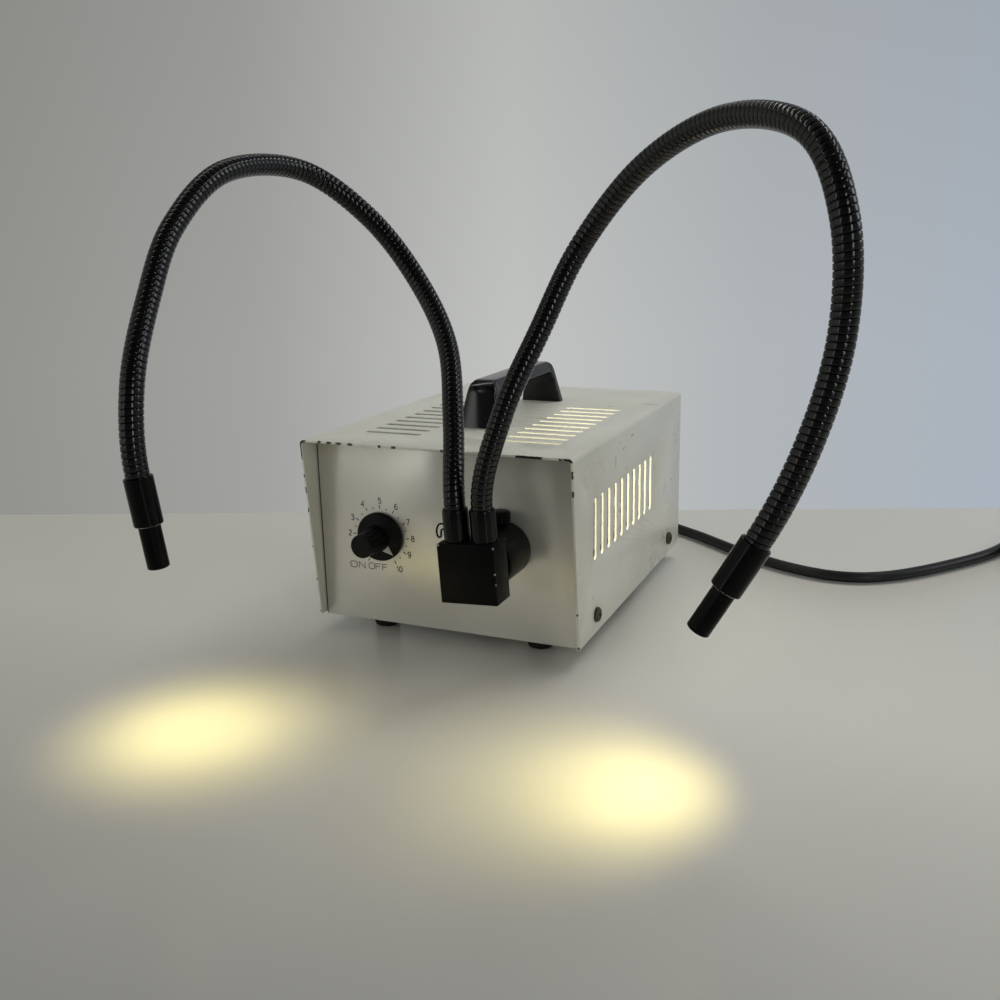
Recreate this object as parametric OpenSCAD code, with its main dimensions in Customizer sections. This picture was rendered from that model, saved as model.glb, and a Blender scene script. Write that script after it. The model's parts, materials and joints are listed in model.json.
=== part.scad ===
// Fibre optic illuminator: a bench lamp box with a brightness dial, a carrying
// handle and a two-armed gooseneck light guide that plugs into a port.
// Millimetres. Origin on the bench, midway between the four feet.
// X to the right seen from the front, -Y out of the front panel, +Z up.

/* [Case] */
// Width of the sheet-metal cover
case_w = 160; // [158:1:164]
// Depth of the cover, front to back
case_d = 218; // [216:1:222]
// Height of the cover above its lower edge
case_h = 105.5; // [104:0.5:110]
// Thickness of the cover's sheet
sheet_t = 1.2; // [1:0.1:1.2]
// Outer radius of the cover's bends
bend_r = 2.5; // [2:0.1:3]
// How far the front panel sits behind the cover's front edge
panel_recess = 14.2; // [13:0.1:15]
// Thickness of the front panel
panel_t = 2; // [1.5:0.1:2]

/* [Vents] */
// Vent slots in each side of the cover
side_slots = 10; // [6:1:10]
// Distance between side slots
side_pitch = 12; // [10:0.5:12]
// Width of a side slot
side_slot_w = 5; // [3:0.5:6]
// Height of a side slot
side_slot_h = 34.4; // [25:0.1:36]
// Vent slots in each half of the top
top_slots = 10; // [6:1:10]
// Distance between top slots
top_pitch = 11.7; // [10:0.05:12]
// Length of a top slot
top_slot_l = 35; // [24:0.5:36]
// Width of a top slot
top_slot_w = 4; // [3:0.5:5]

/* [Feet and handle] */
// Height of a rubber foot
foot_h = 10; // [9:0.5:12]
// Radius of a rubber foot
foot_r = 7.5; // [6.5:0.5:9]
// Width of the handle where it stands on the cover
handle_w = 27; // [24:1:28]
// Height of the handle over the cover
handle_h = 26.5; // [25:0.5:30]

/* [Dial] */
// Radius of the knob's skirt
knob_r = 14; // [12:0.5:15]
// Length of the knob, from its skirt to its end face
knob_l = 21.7; // [20:0.1:24]
// Flutes around the knob's grip
flutes = 14; // [8:1:18]

/* [Light port and guide] */
// Radius of the port hub
hub_r = 15; // [14:0.5:16]
// How far the port hub stands out of the panel
hub_l = 27; // [25:0.5:28]
// Radius of the light guide's plug-in ferrule
ferrule_r = 10; // [9:0.5:10]
// Width and height of the branching block
block_w = 31; // [29:0.5:32]
// Depth of the branching block
block_d = 16; // [14.5:0.5:16]
// Roll of the branching block in its port, in degrees
block_roll = 3.4; // [0:0.1:5]
// Radius of a gooseneck arm
hose_r = 5.5; // [5:0.1:5.5]
// Radius of a fibre bundle
fibre_r = 3.2; // [2.5:0.1:3.2]
// Radius of the sleeve at an arm's end
sleeve_r = 6.6; // [6.2:0.1:7.5]
// Length of the sleeve at an arm's end
sleeve_l = 22; // [20:0.5:25]
// Radius of the polished tip
tip_r = 5; // [4.5:0.1:5]
// Exposed length of the polished tip
tip_l = 20.5; // [18:0.5:24]

/* [Mains lead] */
// Radius of the mains lead
lead_r = 3.5; // [3:0.1:3.5]

/* [Hidden] */
$fn = 64;
hw = case_w / 2;
yf = -case_d / 2;
yb = case_d / 2;
z0 = foot_h;
z1 = foot_h + case_h;
py = yf + panel_recess;            // front face of the front panel
lx = 36.4; lz = 61.2;              // optical axis: lamp, filter, port and ferrule
kx = -39.6; kz = 60;               // dial axis
fan_x = 34; fan_z = 64;            // fan axis
fuse_x = -55; fuse_z = 45;
gland_x = -22; gland_z = 26;
foot_x = 49; foot_y = 76;
hand_x = 1.5; hand_y = 3.7;
blk_y = -127;                      // rear face of the branching block
arm_y = -135;                    // plane of the two arm collars
arm_dx = 7.4;
bore_r = 3.6;                      // bore of a gooseneck arm
ball_gap_r = 5.95;                 // socket sphere around each ball end
up = [-sin(block_roll), 0, cos(block_roll)];

// Centrelines of the two arms, from the collar's top to the end sleeve
arm_left = [[27.115, -135, 92.705], [17.5, -114, 132], [2.5, -88, 168], [-22.5, -72.5, 201.5],
    [-49.5, -74, 234], [-75, -96.5, 258], [-84.5, -148.5, 256.5], [-89.5, -184, 231.5],
    [-88, -207.5, 200], [-81, -231.5, 164], [-77, -238.5, 124.5]];
arm_right = [[41.889, -135, 93.583], [51, -129, 139], [65, -113, 179], [81, -99, 218],
    [113, -106.5, 252.5], [153.5, -131.5, 269], [192.5, -168.5, 261], [209.5, -183.5, 230],
    [211.5, -184.5, 188], [202.5, -191.5, 147], [186, -197.5, 109]];
tip_dir_left = unit([0.087, 0.068, -0.994]);
tip_dir_right = unit([-0.49, -0.103, -0.866]);
ref_left = [0.9, -0.44, 0];
ref_right = [0, 1, 0];
// The arms bend at three ball joints, at these points of the centreline
bend_at = [0, 1, 5, 8, 10];

// Route of the mains lead, from inside the case to the coil
lead_route = [[-22, 96, 26], [-22, 118, 26], [-22, 139, 26], [-22, 150, 25],
    [-21, 161, 21], [-17, 172, 14.5], [-9, 181.5, 8.5], [2, 187.5, 5], [15, 189, 3.5],
    [28, 186, 3.5], [41, 179.5, 3.5], [54, 171, 3.5], [67, 161, 3.5], [87, 147, 3.5],
    [113, 126, 3.5], [137, 108, 3.5], [162, 95, 3.5], [184, 89, 3.5], [204, 91, 3.5],
    [222, 101, 3.5], [239, 117, 3.5], [256, 137, 3.5], [272, 158, 3.5], [284, 178, 3.5],
    [292, 197, 3.5], [297, 211, 3.5]];
coil_c = [340, 194];
coil_in = 25;
coil_out = 50.5;
coil_h = 14;
tail_route = [[350, 240, 10.5], [362, 240.5, 11.5], [374, 240.5, 14.5], [386, 240.5, 18], [396, 240.5, 19]];
plug_x = 394; plug_y = 240.5; plug_z = 19;

// ---------- helpers ----------
function unit(v) = v / norm(v);

// A cylinder along Y from y0 to y1
module cy(x, z, y0, y1, r) {
    translate([x, max(y0, y1), z]) rotate([90, 0, 0]) cylinder(r = r, h = abs(y1 - y0));
}
// A cylinder along X from x0 to x1
module cx(y, z, x0, x1, r) {
    translate([min(x0, x1), y, z]) rotate([0, 90, 0]) cylinder(r = r, h = abs(x1 - x0));
}
// A cylinder along Z from za to zb
module cz(x, y, za, zb, r) {
    translate([x, y, za]) cylinder(r = r, h = zb - za);
}
// A box between two corners
module bx(a, b) { translate(a) cube(b - a); }
// A straight round rod between two points
module rod(a, b, r) {
    d = unit(b - a);
    translate(a) rotate([0, acos(d[2]), atan2(d[1], d[0])]) cylinder(r = r, h = norm(b - a));
}
// Children stand at p with their Z axis along d
module along(p, d) { translate(p) rotate([0, acos(d[2]), atan2(d[1], d[0])]) children(); }
// A profile of [radius, distance] points turned about the axis (x, z), with
// distance measured from plane y towards the front
module turned_y(x, z, y) {
    translate([x, y, z]) rotate([90, 0, 0]) rotate_extrude() children();
}

// Smooth centreline through control points with given end directions
function slope(c, i, t0, t1) =
    i == 0 ? t0 * norm(c[1] - c[0]) :
    i == len(c) - 1 ? t1 * norm(c[i] - c[i - 1]) : (c[i + 1] - c[i - 1]) / 2;
function h_pos(c, i, u, t0, t1) =
    (2 * u * u * u - 3 * u * u + 1) * c[i] + (u * u * u - 2 * u * u + u) * slope(c, i, t0, t1)
    + (3 * u * u - 2 * u * u * u) * c[i + 1] + (u * u * u - u * u) * slope(c, i + 1, t0, t1);
function h_tan(c, i, u, t0, t1) = unit(
    (6 * u * u - 6 * u) * c[i] + (3 * u * u - 4 * u + 1) * slope(c, i, t0, t1)
    + (6 * u - 6 * u * u) * c[i + 1] + (3 * u * u - 2 * u) * slope(c, i + 1, t0, t1));
// Stations strictly between control points a and b: [position, direction]
function inner_stations(c, a, b, t0, t1, sub) =
    [for (i = [a:b - 1]) for (j = [(i == a ? 1 : 0):sub - 1])
        [h_pos(c, i, j / sub, t0, t1), h_tan(c, i, j / sub, t0, t1)]];
function rev(v) = [for (i = [len(v) - 1:-1:0]) v[i]];

// Points of a ring of n sides at station [p, t, r]
function ring(st, ref, n) = let (
    t = st[1], b = unit(cross(t, ref)), m = cross(b, t))
    [for (k = [0:n - 1]) st[0] + st[2] * (m * cos(360 * k / n) + b * sin(360 * k / n))];
function ring_faces(a, b, n) = [for (k = [0:n - 1]) each [
    [a * n + k, b * n + k, b * n + (k + 1) % n],
    [a * n + k, b * n + (k + 1) % n, a * n + (k + 1) % n]]];
// A closed loop of rings: out along the tube's outside and back along its bore
module loop_sweep(sts, ref, n) {
    m = len(sts);
    polyhedron([for (s = sts) each ring(s, ref, n)],
        [for (i = [0:m - 1]) each ring_faces(i, (i + 1) % m, n)], convexity = 10);
}
// A solid sweep with flat ends
module solid_sweep(sts, ref, n) {
    m = len(sts);
    polyhedron([for (s = sts) each ring(s, ref, n)],
        concat([[for (k = [0:n - 1]) k]],
            [for (i = [0:m - 2]) each ring_faces(i, i + 1, n)],
            [[for (k = [n - 1:-1:0]) (m - 1) * n + k]]), convexity = 10);
}

// One length of gooseneck arm between bends a and b of the list bend_at. It
// starts in a socket, or in its collar, and ends in a ball, or in its sleeve.
module hose(c, s, t0, t1, ref) {
    a = bend_at[s]; b = bend_at[s + 1]; last = len(c) - 1;
    pa = c[a]; ta = unit(slope(c, a, t0, t1));
    pb = c[b]; tb = unit(slope(c, b, t0, t1));
    mid = inner_stations(c, a, b, t0, t1, 5);
    head = a == 0 ? [[pa - 8 * ta, ta, hose_r], [pa, ta, hose_r]]
        : [[pa + sqrt(pow(ball_gap_r, 2) - pow(hose_r, 2)) * ta, ta, hose_r]];
    tail = b == last ? [[pb, tb, hose_r], [pb + 8 * tb, tb, hose_r]]
        : [[pb, tb, hose_r], for (q = [67.5, 52]) [pb + hose_r * cos(q) * tb, tb, hose_r * sin(q)]];
    back_tail = b == last ? [[pb + 8 * tb, tb, bore_r], [pb, tb, bore_r]]
        : [[pb + sqrt(pow(hose_r, 2) - pow(bore_r, 2)) * tb, tb, bore_r], [pb, tb, bore_r]];
    back_head = a == 0 ? [[pa, ta, bore_r], [pa - 8 * ta, ta, bore_r]]
        : [[pa + sqrt(pow(ball_gap_r, 2) - pow(bore_r, 2)) * ta, ta, bore_r],
           [pa + ball_gap_r * cos(50) * ta, ta, ball_gap_r * sin(50)]];
    loop_sweep(concat(head, [for (m = mid) [m[0], m[1], hose_r]], tail,
        back_tail, [for (m = rev(mid)) [m[0], m[1], bore_r]], back_head), ref, 12);
}
// The fibre bundle inside that length
module fibres(c, s, t0, t1, ref) {
    a = bend_at[s]; b = bend_at[s + 1]; last = len(c) - 1;
    pa = c[a]; ta = unit(slope(c, a, t0, t1));
    pb = c[b]; tb = unit(slope(c, b, t0, t1));
    head = a == 0 ? [[pa - 25 * ta, ta, fibre_r], [pa, ta, fibre_r]] : [[pa + 6.1 * ta, ta, fibre_r]];
    tail = b == last ? [[pb, tb, fibre_r], [pb + (sleeve_l + tip_l - 0.3) * tb, tb, fibre_r]]
        : [[pb, tb, fibre_r], [pb + 4 * tb, tb, fibre_r]];
    solid_sweep(concat(head, [for (m = inner_stations(c, a, b, t0, t1, 5)) [m[0], m[1], fibre_r]],
        tail), ref, 8);
}

// Stations along a route of points, with directions from the neighbours
function route_stations(p, r, t0, t1) = [for (i = [0:len(p) - 1])
    [p[i], i == 0 ? t0 : i == len(p) - 1 ? t1 : unit(p[i + 1] - p[i - 1]), r]];

// M4 pan-head screw, 10 mm long: head on Z = 0, shank down -Z
module m4() {
    difference() {
        union() {
            cylinder(r = 4.2, h = 1.6);
            translate([0, 0, 1.6]) cylinder(r1 = 4.2, r2 = 2.9, h = 1);
        }
        translate([-0.5, -3.4, 1.5]) cube([1, 6.8, 2]);
        translate([-3.4, -0.5, 1.5]) cube([6.8, 1, 2]);
    }
    translate([0, 0, -10]) cylinder(r = 1.9, h = 10.2);
}

// ---------- case ----------
module cover() {
    color([0.86, 0.84, 0.76]) difference() {
        // bent sheet
        difference() {
            union() {
                bx([-hw, yf, z0], [hw, yb, z1 - bend_r]);
                bx([-hw + bend_r, yf, z0], [hw - bend_r, yb, z1]);
                for (s = [-1, 1]) cy(s * (hw - bend_r), z1 - bend_r, yf, yb, bend_r);
            }
            bx([-hw + sheet_t, yf - 1, z0 - 1], [hw - sheet_t, yb + 1, z1 - bend_r]);
            bx([-hw + bend_r, yf - 1, z0 - 1], [hw - bend_r, yb + 1, z1 - sheet_t]);
            for (s = [-1, 1]) cy(s * (hw - bend_r), z1 - bend_r, yf - 1, yb + 1, bend_r - sheet_t);
        }
        // front edges of the sides lean back towards the bottom
        translate([-hw - 5, 0, 0]) rotate([90, 0, 90]) linear_extrude(case_w + 10)
            polygon([[yf - 20, 0], [yf + 10.2, 0], [yf, z1 - sheet_t], [yf - 20, z1 - sheet_t]]);
        // side vents
        for (s = [-1, 1]) for (i = [0:side_slots - 1]) {
            y = -73.5 + side_pitch * i;
            zc = 69.7; h = side_slot_h - side_slot_w;
            bx([s * hw - 4, y - side_slot_w / 2, zc - h / 2], [s * hw + 4, y + side_slot_w / 2, zc + h / 2]);
            for (e = [-1, 1]) cx(y, zc + e * h / 2, s * hw - 4, s * hw + 4, side_slot_w / 2);
        }
        // top vents
        for (s = [-1, 1]) for (i = [0:top_slots - 1]) {
            y = -76.2 + top_pitch * i;
            xc = 2.7 + s * 41.7; l = top_slot_l - top_slot_w;
            bx([xc - l / 2, y - top_slot_w / 2, z1 - 4], [xc + l / 2, y + top_slot_w / 2, z1 + 4]);
            for (e = [-1, 1]) cz(xc + e * l / 2, y, z1 - 4, z1 + 4, top_slot_w / 2);
        }
        // screw holes
        for (s = [-1, 1]) for (y = [-71.7, 80.3]) cx(y, 20.6, s * hw - 4, s * hw + 4, 2.2);
        for (y = [-44.8, 52.2]) cz(hand_x, y, z1 - 4, z1 + 4, 2.2);
    }
}

module chassis() {
    color([0.72, 0.73, 0.74]) difference() {
        union() {
            bx([-hw + sheet_t, py + panel_t, z0], [hw - sheet_t, yb - 3, z0 + 1.5]);
            for (s = [-1, 1]) bx([s > 0 ? hw - sheet_t - 1.2 : -hw + sheet_t, py + panel_t, z0],
                [s > 0 ? hw - sheet_t : -hw + sheet_t + 1.2, yb - 3, z0 + 20]);
            bx([-hw + sheet_t, py + panel_t, z0], [hw - sheet_t, py + panel_t + 1.2, z0 + 12]);
            bx([-hw + sheet_t, yb - 4.2, z0], [hw - sheet_t, yb - 3, z0 + 7]);
            // pressed posts under the dimmer board
            for (x = [-64, -20]) for (y = [-82, -46]) cz(x, y, z0 + 1, z0 + 7, 3);
        }
        for (x = [-foot_x, foot_x]) for (y = [-foot_y, foot_y]) cz(x, y, z0 - 1, z0 + 3, 2);
        for (s = [-1, 1]) for (y = [-71.7, 80.3]) cx(y, 20.6, s * hw - 5, s * hw + 5, 2);
        // cooling slots in the floor, under the lamp
        for (i = [0:5]) bx([14, -72 + 12 * i, z0 - 1], [58, -68 + 12 * i, z0 + 3]);
    }
}

module front_panel() {
    color([0.8, 0.78, 0.7]) difference() {
        bx([-hw + 1.5, py, z0 - 1.2], [hw - 1.5, py + panel_t, z1 - 1.4]);
        cy(kx, kz, py - 1, py + panel_t + 1, 4.8);
        cy(lx, lz, py - 1, py + panel_t + 1, 12.6);
    }
}

module rear_panel() {
    color([0.8, 0.79, 0.74]) difference() {
        bx([-hw + 1.4, yb - 3, z0], [hw - 1.4, yb - 1.5, z1 - 1.4]);
        cy(fan_x, fan_z, yb - 5, yb + 1, 37.5);
        for (a = [-1, 1]) for (b = [-1, 1]) cy(fan_x + a * 35.75, fan_z + b * 35.75, yb - 5, yb + 1, 2.2);
        cy(fuse_x, fuse_z, yb - 5, yb + 1, 6.1);
        cy(gland_x, gland_z, yb - 5, yb + 1, 6.1);
    }
}

module m4_screws() {
    color([0.45, 0.4, 0.35]) {
        // cover to chassis
        for (y = [-71.7, 80.3]) {
            translate([hw, y, 20.6]) rotate([0, 90, 0]) m4();
            translate([-hw, y, 20.6]) rotate([0, -90, 0]) m4();
        }
        // fan and its guard
        for (a = [-1, 1]) for (b = [-1, 1])
            translate([fan_x + a * 35.75, yb + 0.3, fan_z + b * 35.75]) rotate([-90, 0, 0]) m4();
        // feet
        for (x = [-foot_x, foot_x]) for (y = [-foot_y, foot_y])
            translate([x, y, 6]) rotate([180, 0, 0]) m4();
        // handle
        for (y = [-44.8, 52.2]) translate([hand_x, y, z1 - sheet_t]) rotate([180, 0, 0]) m4();
    }
}

module feet() {
    color([0.06, 0.06, 0.06]) for (x = [-foot_x, foot_x]) for (y = [-foot_y, foot_y]) difference() {
        union() {
            cz(x, y, 1, foot_h, foot_r);
            translate([x, y, 0]) cylinder(r1 = foot_r - 1, r2 = foot_r, h = 1);
        }
        cz(x, y, -1, 6, 4.6);
        cz(x, y, 5, foot_h + 1, 2);
    }
}

function arc(cx, cy, r, a0, a1, n) = [for (i = [0:n]) let (a = a0 + (a1 - a0) * i / n)
    [cx + r * cos(a), cy + r * sin(a)]];
module handle() {
    zt = z1 + handle_h; zu = zt - 6.5;
    color([0.05, 0.05, 0.05]) difference() {
        intersection() {
            // bridge seen from the side
            translate([-30, 0, 0]) rotate([90, 0, 90]) linear_extrude(60) polygon(concat(
                [[-49.5, z1], [-42, z1]], [[-39.4, zu - 7]], arc(-34.6, zu - 5, 5, 172, 90, 5),
                arc(41.6, zu - 5, 5, 90, 8, 5), [[46.6, zu - 7]], [[49.4, z1], [56.8, z1]],
                arc(44.6, zt - 8, 8, 12, 90, 7), arc(-36.8, zt - 8, 8, 90, 168, 7)));
            // and from the front
            translate([0, 80, 0]) rotate([90, 0, 0]) linear_extrude(160) polygon([
                [hand_x - handle_w / 2, z1], [hand_x + handle_w / 2, z1],
                [hand_x + handle_w / 2 - 0.8, z1 + 4], [hand_x + 8.3, zt - 1.6], [hand_x + 6.6, zt],
                [hand_x - 6.6, zt], [hand_x - 8.3, zt - 1.6], [hand_x - handle_w / 2 + 0.8, z1 + 4]]);
        }
        for (y = [-44.8, 52.2]) cz(hand_x, y, z1 - 1, z1 + 9.3, 2);
    }
}

// ---------- port ----------
module port_hub() {
    color([0.04, 0.04, 0.045]) difference() {
        union() {
            cy(lx, lz, py - hub_l + 0.8, py, hub_r);
            turned_y(lx, lz, py - hub_l + 0.8) polygon([[0, 0], [hub_r, 0], [hub_r - 0.8, 0.8], [0, 0.8]]);
            cy(lx, lz, py, py + 10, 12.5);
        }
        cy(lx, lz, py - hub_l - 1, py + 11, ferrule_r + 0.05);
        cz(lx, -101, lz, lz + hub_r + 1, 2.1);
    }
}

module panel_nuts() {
    color([0.7, 0.7, 0.7]) {
        difference() {
            translate([lx, py + panel_t + 6, lz]) rotate([90, 0, 0]) cylinder(r = 19, h = 6, $fn = 6);
            cy(lx, lz, py, py + 12, 12.5);
        }
        difference() {
            translate([kx, py, kz]) rotate([90, 0, 0]) cylinder(r = 7, h = 2.2, $fn = 6);
            cy(kx, kz, py - 4, py + 1, 4.7);
        }
    }
}

module clamp_screw() {
    color([0.04, 0.04, 0.04]) {
        difference() {
            union() {
                cz(lx, -101, lz + hub_r + 0.8, lz + hub_r + 6.5, 5.8);
                translate([lx, -101, lz + hub_r + 6.5]) cylinder(r1 = 5.8, r2 = 5.2, h = 0.6);
            }
            for (i = [0:19]) rotate_about([lx, -101], 18 * i)
                cz(lx + 6.15, -101, lz + hub_r, lz + hub_r + 8, 0.6);
        }
        cz(lx, -101, lz + 10.5, lz + hub_r + 1, 2.05);
    }
}
module rotate_about(c, a) { translate([c[0], c[1], 0]) rotate([0, 0, a]) translate([-c[0], -c[1], 0]) children(); }

// ---------- dial ----------
module pot_body() {
    color([0.3, 0.3, 0.32]) difference() {
        union() {
            cy(kx, kz, py + panel_t, py + panel_t + 10.5, 12);
            cy(kx, kz, py - 5.5, py + panel_t, 4.7);
            bx([kx - 9, py + panel_t + 3, kz - 18], [kx + 9, py + panel_t + 4.5, kz - 10]);
        }
        cy(kx, kz, py - 6, py + panel_t + 8, 3.05);
    }
}
module pot_shaft() {
    color([0.7, 0.7, 0.68]) cy(kx, kz, py - 18, py + panel_t + 7.8, 3);
}
module knob() {
    taper = atan(0.8 / (knob_l - 4));
    color([0.05, 0.05, 0.05]) difference() {
        turned_y(kx, kz, py) polygon([[3, 6.5], [3, 18], [0, 18], [0, knob_l + 0.5],
            [6, knob_l + 0.5], [6.6, knob_l - 0.1], [7.4, 4.2], [knob_r - 1, 3.3], [knob_r, 2.4],
            [knob_r, 0.5], [8.2, 0.5], [8.2, 2.9], [5.3, 2.9], [5.3, 6.5]]);
        for (i = [0:flutes - 1]) translate([kx, py - 4.6, kz]) rotate([0, 360 * i / flutes, 0])
            translate([7.85, 0, 0]) rotate([90, 0, 0]) rotate([0, -taper, 0]) cylinder(r = 0.9, h = knob_l);
    }
}

// ---------- inside ----------
module dimmer_board() {
    color([0.15, 0.4, 0.2]) union() {
        bx([-68, -86, z0 + 7], [-16, -42, z0 + 8.6]);
        cz(-56, -52, z0 + 8.5, z0 + 24, 6.5);
        cz(-34, -50, z0 + 8.5, z0 + 18, 4);
        bx([-64, -80, z0 + 8.5], [-46, -68, z0 + 20]);
        bx([-32, -82, z0 + 8.5], [-30.5, -62, z0 + 34]);
        bx([-30.6, -76, z0 + 14], [-26, -66, z0 + 30]);
        bx([-44, -64, z0 + 8.5], [-38, -58, z0 + 14]);
    }
}
module transformer_core() {
    color([0.35, 0.36, 0.38]) difference() {
        bx([-73.5, -10, z0 + 3], [1.5, 30, z0 + 65.5]);
        for (x = [-61, -23.5]) bx([x, -11, z0 + 15.5], [x + 12.5, 31, z0 + 53]);
    }
}
module transformer_winding() {
    color([0.65, 0.35, 0.15]) difference() {
        union() {
            bx([-60.7, -19, z0 + 15.8], [-11.3, 39, z0 + 52.7]);
        }
        bx([-48.6, -10.1, z0 + 10], [-23.4, 30.1, z0 + 60]);
    }
}
module transformer_bracket() {
    color([0.6, 0.6, 0.62]) difference() {
        union() {
            bx([-73.5, -13, z0 + 1.5], [1.5, 33, z0 + 3]);
            for (y = [-13, 31.8]) bx([-73.5, y, z0 + 1.5], [1.5, y + 1.2, z0 + 12]);
            bx([-73.5, -24, z0 + 1.5], [1.5, -13, z0 + 3]);
            bx([-73.5, 33, z0 + 1.5], [1.5, 44, z0 + 3]);
        }
        for (x = [-64, -8]) for (y = [-18.5, 38.5]) cz(x, y, z0, z0 + 4, 2.2);
    }
}
module heat_shield() {
    color([0.75, 0.76, 0.78]) union() {
        bx([4.5, -90, z0 + 1.5], [5.7, 78, z0 + 101]);
        bx([4.5, -70, z0 + 1.5], [12.5, 62, z0 + 2.7]);
    }
}
// Dish of the reflector lamp: parabola of radius r at depth d, opening to the front
function dish(d) = 5.2 * sqrt(d + 1.6);
module lamp_reflector() {
    color([0.8, 0.82, 0.85]) turned_y(lx, lz, -22) polygon(concat(
        [for (i = [0:9]) [dish(2 + i * 2.1) + 1.6, 2 + i * 2.1 - 0.8]],
        [[25.3, 20.6], [25.3, 22.6], [dish(20.9), 22.6]],
        [for (i = [9:-1:0]) [dish(2 + i * 2.1), 2 + i * 2.1]],
        [[4.4, 2], [4.4, -9], [8, -9], [8, 0]]));
}
module lamp_bulb() {
    color([0.9, 0.9, 0.85]) {
        turned_y(lx, lz, -22) polygon([[0, -7], [4.2, -7], [4.2, 10], [3.4, 12.5], [1.6, 14.2], [0, 14.8]]);
        for (s = [-1, 1]) cy(lx + s * 2.5, lz, -15.5, -9, 0.6);
    }
}
module lamp_socket() {
    color([0.93, 0.92, 0.88]) difference() {
        bx([lx - 9, -12.8, lz - 6], [lx + 9, 1, lz + 6]);
        for (s = [-1, 1]) cy(lx + s * 2.5, lz, -14, -8.5, 0.65);
    }
}
module lamp_bracket() {
    color([0.7, 0.71, 0.73]) difference() {
        union() {
            bx([12.8, -46.1, z0 + 1.5], [65, -44.6, z0 + 84]);
            bx([12.8, -46.1, z0 + 1.5], [65, -36, z0 + 3]);
            // rear post carrying the lamp socket
            bx([lx - 9, 1, z0 + 1.5], [lx + 9, 2.5, lz + 6]);
            bx([lx - 9, 1, z0 + 1.5], [lx + 9, 12, z0 + 3]);
        }
        cy(lx, lz, -50, -40, 22.5);
    }
}
module filter_holder() {
    color([0.7, 0.71, 0.73]) difference() {
        union() {
            bx([lx - 20, -76, z0 + 1.5], [lx + 20, -74.5, z0 + 78]);
            bx([lx - 20, -76, z0 + 1.5], [lx + 20, -66, z0 + 3]);
            cy(lx, lz, -80, -76, 17);
        }
        cy(lx, lz, -82, -70, 12.5);
        cy(lx, lz, -81, -76.5, 15.1);
        // clear of the foot's screw
        cz(foot_x, -foot_y, z0, z0 + 8, 3);
    }
}
module heat_filter() {
    color([0.75, 0.9, 0.88, 0.6]) cy(lx, lz, -79.6, -76.5, 15);
}
module fan_frame() {
    color([0.1, 0.1, 0.11]) difference() {
        union() {
            difference() {
                bx([fan_x - 40, yb - 28, fan_z - 40], [fan_x + 40, yb - 3, fan_z + 40]);
                cy(fan_x, fan_z, yb - 29, yb - 2, 38);
            }
            cy(fan_x, fan_z, yb - 28, yb - 25, 17);
            for (a = [45:90:315]) translate([fan_x, yb - 28, fan_z]) rotate([0, a, 0])
                bx([14, 0, -2.5], [39, 2.5, 2.5]);
        }
        for (a = [-1, 1]) for (b = [-1, 1])
            cy(fan_x + a * 35.75, fan_z + b * 35.75, yb - 29, yb - 2, 2);
        cy(fan_x, fan_z, yb - 29, yb - 24, 1.55);
    }
}
module fan_rotor() {
    color([0.13, 0.13, 0.14]) {
        cy(fan_x, fan_z, yb - 24.5, yb - 6, 16.5);
        cy(fan_x, fan_z, yb - 27.5, yb - 24, 1.5);
        for (i = [0:6]) translate([fan_x, yb - 14.5, fan_z]) rotate([0, 360 * i / 7, 0])
            rotate([40, 0, 0]) translate([15, -9, -0.8]) cube([21, 18, 1.6]);
    }
}
module fan_guard() {
    color([0.8, 0.8, 0.82]) union() {
        for (r = [9, 17, 25, 33]) translate([fan_x, yb - 0.6, fan_z]) rotate([90, 0, 0])
            rotate_extrude() translate([r, 0]) circle(r = 0.9, $fn = 24);
        for (a = [-1, 1]) for (b = [-1, 1]) translate([fan_x + a * 35.75, yb - 0.6, fan_z + b * 35.75])
            rotate([90, 0, 0]) rotate_extrude() translate([3.3, 0]) circle(r = 0.9, $fn = 24);
        for (a = [45, 135]) translate([fan_x, yb - 0.6, fan_z]) rotate([0, a, 0])
            translate([-47.8, 0, 0]) rotate([0, 90, 0]) cylinder(r = 0.9, h = 95.6);
    }
}
module fuse_holder() {
    color([0.08, 0.08, 0.08]) difference() {
        union() {
            cy(fuse_x, fuse_z, yb - 26, yb - 1.5, 6);
            cy(fuse_x, fuse_z, yb - 1.5, yb + 1, 8.5);
        }
        cy(fuse_x, fuse_z, yb - 20, yb + 2, 4.95);
    }
}
module fuse_cap() {
    color([0.1, 0.1, 0.1]) {
        difference() {
            union() {
                cy(fuse_x, fuse_z, yb + 1.2, yb + 6, 6.3);
                turned_y(fuse_x, fuse_z, yb + 6.6) polygon([[0, 0], [5.7, 0], [6.3, 0.6], [0, 0.6]]);
            }
            bx([fuse_x - 5, yb + 5.4, fuse_z - 0.6], [fuse_x + 5, yb + 8, fuse_z + 0.6]);
        }
        cy(fuse_x, fuse_z, yb - 14, yb + 1.4, 4.88);
    }
}
module terminal_block() {
    color([0.85, 0.84, 0.8]) difference() {
        bx([-64, 82, z0 + 1.5], [-32, 98, z0 + 13.5]);
        for (i = [0:2]) {
            cz(-59 + 11 * i, 86, z0 + 6, z0 + 14, 2.5);
            cz(-59 + 11 * i, 94, z0 + 6, z0 + 14, 2.5);
            cy(-59 + 11 * i, z0 + 5.5, 81, 99, 1.6);
        }
    }
}

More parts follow.
